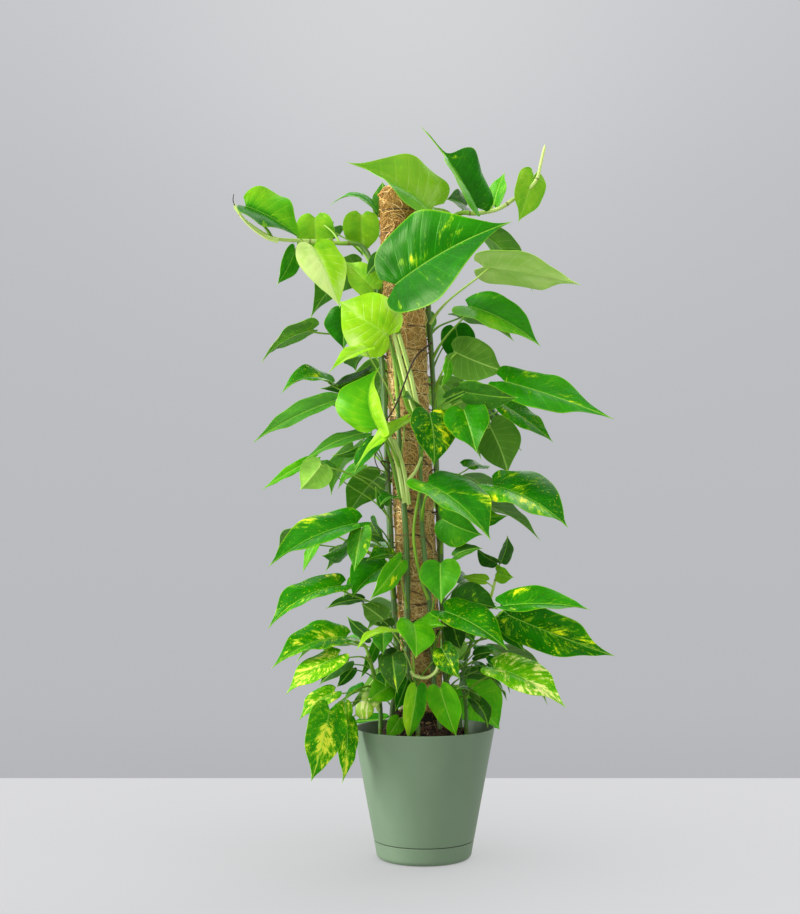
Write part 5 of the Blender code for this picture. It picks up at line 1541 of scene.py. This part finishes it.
def leaf_finish():
    """Waxy leaf: green by tone, lighter ribs and margin, yellow streaks along its veins, matte beneath."""
    f = Finish("pothos_leaf")
    side, row, across = f.painted("place")
    tone, dull, gold = f.painted("look")
    cream, mark, under = f.painted("extra")
    seed, length, _ = f.painted("own")
    reach = abs(side)
    phase = row * float(SIDE_VEINS) + f.maths("GREATER_THAN", side, 0.0) * 0.5
    vein = f.step(0.84, 0.99, abs(phase % 1.0 - 0.5) * 2.0) * f.step(1.0, 0.7, reach)
    twig = f.step(0.7, 1.0, abs(phase * 4.0 % 1.0 - 0.5) * 2.0)
    midrib = f.step(1.3, 0.35, abs(across))

    cloud = f.noise(f.join(row * 3.2, side * 1.6, seed), 3.0)
    depth = f.maths("ADD", (cloud - 0.5) * 0.42 + tone, vein * 0.07, clamp=True)
    colour = f.blend(dull, f.ramp(depth, LEAF_TONES), DULL_GREEN)

    shift = seed * 3.7
    run = row * length
    streak = f.noise(f.join(run * 0.21, side * 2.6, shift), 5.0, 0.7)
    patch = f.noise(f.join(run * 0.04, side * 1.1, shift + 5.0))
    marbling = streak * 0.85 + patch * 0.55 - 0.2 + mark * 0.17
    edge = gold * -0.24 + 0.745
    halo = f.step(edge - 0.13, edge + 0.03, marbling)
    stain = f.step(edge - 0.01, edge + 0.07, marbling)
    colour = f.blend(halo * 0.55, colour, LIME)
    colour = f.blend(stain * 0.9, colour, f.blend(cream, YELLOW, CREAM))

    speck_place = f.join(run * 0.19, side * 9.0, shift)
    speck = f.node("TexVoronoi", "Distance", {"Vector": speck_place, "Scale": 1.0})
    dots = f.step(0.2, 0.12, speck) * f.step(0.05, 0.4, gold)
    colour = f.blend(dots * 0.6, colour, YELLOW)

    colour = f.blend(f.step(0.955, 1.0, reach) * 0.45, colour, LIME)
    colour = f.blend(midrib * 0.5, colour, RIB_GREEN)
    pale = f.blend(0.75, colour, f.ramp(depth, UNDER_TONES))
    pale = f.blend(f.maths("MAXIMUM", vein * 0.14, midrib * 0.6), pale, UNDER_RIB_GREEN)
    f.set(Base_Color=f.blend(under, colour, pale))

    mottled = f.noise(f.join(row * 9.0, side * 5.0, seed))
    f.set(Roughness=mottled * 0.22 + 0.15 + under * 0.26)
    f.set(IOR=1.45, Specular_IOR_Level=0.2, Specular_Tint=(0.66, 1.0, 0.32))
    f.set(Subsurface_Weight=0.26, Subsurface_Scale=0.003, Subsurface_Radius=(0.5, 1.0, 0.12))
    grain = f.noise(f.join(row * 60.0, side * 34.0, seed))
    f.bump(grain * 0.5 + twig * -0.35 + vein * -0.8, 0.5, 0.0003)
    return f.made


def stalk_finish():
    """Stems and stalks: streaked yellow-green, darker where a stem is old, browner at its nodes."""
    f = Finish("pothos_stalk")
    around, run, _ = f.painted("place")
    tone, dull, stem = f.painted("look")
    seed = f.painted("own")[0]
    lines = f.noise(f.join(around * 5.0, run * 0.01, seed), 3.0)
    cloud = f.noise(f.join(around, run * 0.04, seed))
    colour = f.ramp(f.vary((lines - 0.5) * 0.5 + tone, cloud, 0.3), STALK_TONES)
    grey = f.blend(f.step(0.35, 0.65, lines), (0.060, 0.120, 0.030), (0.240, 0.340, 0.130))
    colour = f.blend(dull * 0.55, colour, grey)
    ring = f.step(0.035, 0.015, abs(run / NODE_PITCH % 1.0 - 0.5))
    colour = f.blend(ring * stem * 0.7, colour, (0.16, 0.11, 0.03))
    f.set(Base_Color=colour, Roughness=0.38, Specular_IOR_Level=0.3)
    f.set(Subsurface_Weight=0.1, Subsurface_Scale=0.003)
    f.bump(lines, 0.4, 0.0004)
    return f.made


def root_finish():
    """Aerial roots: dry brown skin."""
    f = Finish("aerial_root")
    around, run, _ = f.painted("place")
    scurf = f.noise(f.join(around, run * 0.25, f.painted("own")[0]), 3.0)
    depth = f.vary(f.painted("look")[0], scurf, 0.9)
    f.set(Base_Color=f.ramp(depth, ROOT_TONES), Roughness=0.8)
    f.bump(scurf, 0.5, 0.0004)
    return f.made


def fibres(f, turn, across, along):
    """A field of fine lines that run one way over the object, in metres."""
    return f.step(0.42, 0.68, f.noise(f.object_place((across, across, along), turn), 3.0, 0.65))


def coir_finish():
    """Matted coconut fibre: fine crossing lines, golden on top, painted shade in the gaps, painted light low
    down.
    """
    f = Finish("coir_mat")
    first = fibres(f, (0.0, 0.9, 0.4), 900.0, 90.0) * 0.9
    second = fibres(f, (0.7, -0.6, 0.0), 1100.0, 110.0) * 0.75
    third = fibres(f, (1.4, 0.2, 0.9), 800.0, 120.0) * 0.6
    # Where the fibre lines leave gaps the coir stays dark: painted shade in the gaps.
    mat = f.maths("MAXIMUM", f.maths("MAXIMUM", first, second), third)
    cloud = f.noise(f.object_place((40.0, 40.0, 22.0)), 3.0)
    # Painted light: the coir low on the pole, where the leaves shade it, is blended towards a lighter colour.
    low_painted_light = f.step(*COIR_PAINTED_LIGHT_HEIGHTS, f.painted("place")[2]) * 0.2
    colour = f.blend(low_painted_light, f.ramp(f.vary(mat, cloud, 0.7), COIR_TONES), PAINTED_LIGHT_COIR)
    f.set(Base_Color=colour, Roughness=0.95, IOR=1.35)
    f.bump(mat, 1.0, 0.0012)
    return f.made


def strand_finish():
    """Single coir fibres, from dark red-brown to straw."""
    f = Finish("coir_strand")
    flecks = f.noise(f.object_place((260.0, 260.0, 260.0)))
    depth = f.vary(f.painted("look")[0], flecks, 0.5)
    f.set(Base_Color=f.ramp(depth, STRAND_TONES), Roughness=0.7, IOR=1.4)
    return f.made


def cord_finish():
    """Thin dark cord with a laid twist."""
    f = Finish("binding_cord")
    _, run, turn = f.painted("place")
    twist = f.maths("SINE", run * 4.0 + turn)
    colour = f.blend(f.step(-0.8, 0.8, twist), (0.050, 0.034, 0.018), (0.130, 0.085, 0.040))
    f.set(Base_Color=colour, Roughness=0.75)
    f.bump(twist, 0.6, 0.0003)
    return f.made


def soil_finish():
    """Moist potting mix: near black with red-brown crumbs."""
    f = Finish("potting_mix")
    crumbs = f.noise(f.object_place((420.0, 420.0, 420.0)), 4.0, 0.65)
    cloud = f.noise(f.object_place((70.0, 70.0, 70.0)), 3.0)
    f.set(Base_Color=f.ramp(f.vary(crumbs, cloud, 0.6), SOIL_TONES), Roughness=0.9, IOR=1.4)
    f.bump(crumbs, 1.0, 0.0015)
    return f.made


def litter_finish():
    """Bark chips and coir threads, from black to red-brown and straw."""
    f = Finish("bark_and_coir")
    grain = f.noise(f.object_place((500.0, 500.0, 160.0)), 3.0, 0.6)
    depth = f.vary(f.painted("look")[0], grain, 0.5)
    f.set(Base_Color=f.ramp(depth, LITTER_TONES), Roughness=0.85)
    f.bump(grain, 0.7, 0.0008)
    return f.made


def pot_finish():
    """Matte sage-green plastic with a fine moulded grain and faint mottling."""
    f = Finish("sage_plastic")
    cloud = f.noise(f.object_place((9.0, 9.0, 6.0)), 4.0, 0.6)
    dust = f.noise(f.object_place((700.0, 700.0, 700.0)))
    colour = f.blend(f.step(0.35, 0.7, cloud), (0.132, 0.198, 0.117), (0.150, 0.222, 0.133))
    colour = f.blend(f.step(0.66, 0.74, dust) * 0.12, colour, (0.30, 0.38, 0.27))
    f.set(Base_Color=colour, Specular_IOR_Level=0.3, Roughness=cloud * 0.14 + 0.42)
    f.bump(f.noise(f.object_place((1500.0, 1500.0, 1500.0))), 0.35, 0.00012)
    return f.made


def make_table():
    """A pale table whose far edge lies behind the plant."""
    far_edge, near_edge, half_width = 0.63, -4.0, 5.0
    near = [(-half_width, near_edge, 0), (half_width, near_edge, 0)]
    far = [(half_width, far_edge, 0), (-half_width, far_edge, 0)]
    mesh = bpy.data.meshes.new("table_top")
    mesh.from_pydata(near + far, [], [(0, 1, 2, 3)])
    plain = Finish("pale_table")
    plain.set(Base_Color=(0.38, 0.38, 0.385), Roughness=0.9, Specular_IOR_Level=0.0)
    plain.set(Emission_Color=(1.0, 1.0, 1.01), Emission_Strength=0.33)
    mesh.materials.append(plain.made)
    table = bpy.data.objects.new("table_top", mesh)
    bpy.context.scene.collection.objects.link(table)
    return table


def make_surround():
    """A soft grey surround, lighter towards the top and most of all above the plant."""
    world = bpy.data.worlds.new("surround")
    bpy.context.scene.world = world
    g = Graph(world)
    across, _, height = g.split(g.node("TexCoord", "Generated", {}))
    grey = g.ramp(g.maths("ADD", height, 0.2, clamp=True), SURROUND_GREYS)
    aside = g.maths("POWER", (across + 0.014) / 0.178, 2.0)
    below = g.maths("POWER", (height * -1.0 + 0.335) / 0.155, 2.0)
    glow = g.maths("EXPONENT", (aside + below) * -1.0)
    backdrop = g.nodes["Background"]
    g.put(backdrop.inputs["Color"], g.blend(glow * 0.5, grey, (0.760, 0.765, 0.770)))


def soft_light(name, way, power, spread):
    """A distant studio light: way points to it, and spread is its width in degrees."""
    data = bpy.data.lights.new(name, "SUN")
    data.energy = power
    data.angle = math.radians(spread)
    lamp = bpy.data.objects.new(name, data)
    lamp.rotation_euler = Vector(way).to_track_quat("Z", "Y").to_euler()
    bpy.context.scene.collection.objects.link(lamp)
    return lamp


def make_lights(table):
    """Soft light all round, mostly from the left. Only the top and back lights reach the table."""
    beams = [
        soft_light("key_light", (-0.80, -0.29, 0.58), 3.0, 26),
        soft_light("side_light", (-1.00, -0.10, 0.06), 2.6, 30),
        soft_light("front_light", (0.30, -0.90, 0.35), 0.8, 70),
    ]
    soft_light("top_light", (0.0, -0.05, 1.00), 1.0, 110)
    soft_light("back_light", (0.45, 0.80, 0.40), 0.8, 60)
    kept_out = bpy.data.collections.new("out_of_front_lights")
    kept_out.objects.link(table)
    kept_out.collection_objects[0].light_linking.link_state = "EXCLUDE"
    for beam in beams:
        beam.light_linking.receiver_collection = kept_out


def make_camera():
    """The photograph's view: level, with a small shift for where its horizon and the pot's axis lie."""
    data = bpy.data.cameras.new("front_camera")
    data.sensor_width = SENSOR
    data.lens = FOCAL_PIXELS * SENSOR / FRAME_HEIGHT
    data.shift_x = (FRAME_WIDTH / 2 - AXIS_COLUMN) / FRAME_HEIGHT
    data.shift_y = (HORIZON_ROW - FRAME_HEIGHT / 2) / FRAME_HEIGHT
    camera = bpy.data.objects.new("front_camera", data)
    camera.location = (0.0, -EYE_DISTANCE * MM, EYE_HEIGHT * MM)
    camera.rotation_euler = (math.pi / 2, 0.0, 0.0)
    bpy.context.scene.collection.objects.link(camera)
    bpy.context.scene.camera = camera


def main():
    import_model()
    routes = {name: stem_route(vine) for name, vine in VINES.items()}
    items = LEAVES + back_leaves(routes)
    items += filler_leaves(routes, items)
    finishes = [leaf_finish(), stalk_finish(), root_finish()]
    for name, route in routes.items():
        make_leafy_stem(name, [item for item in items if item.vine == name], route, finishes)
    plastic = pot_finish()
    make_saucer(plastic)
    make_pot(plastic)
    make_soil(soil_finish())
    make_soil_litter(litter_finish())
    make_pole(coir_finish())
    make_strands(strand_finish())
    make_cords(cord_finish())
    table = make_table()
    make_surround()
    make_lights(table)
    make_camera()
    bpy.context.scene.view_settings.view_transform = "Standard"


main()
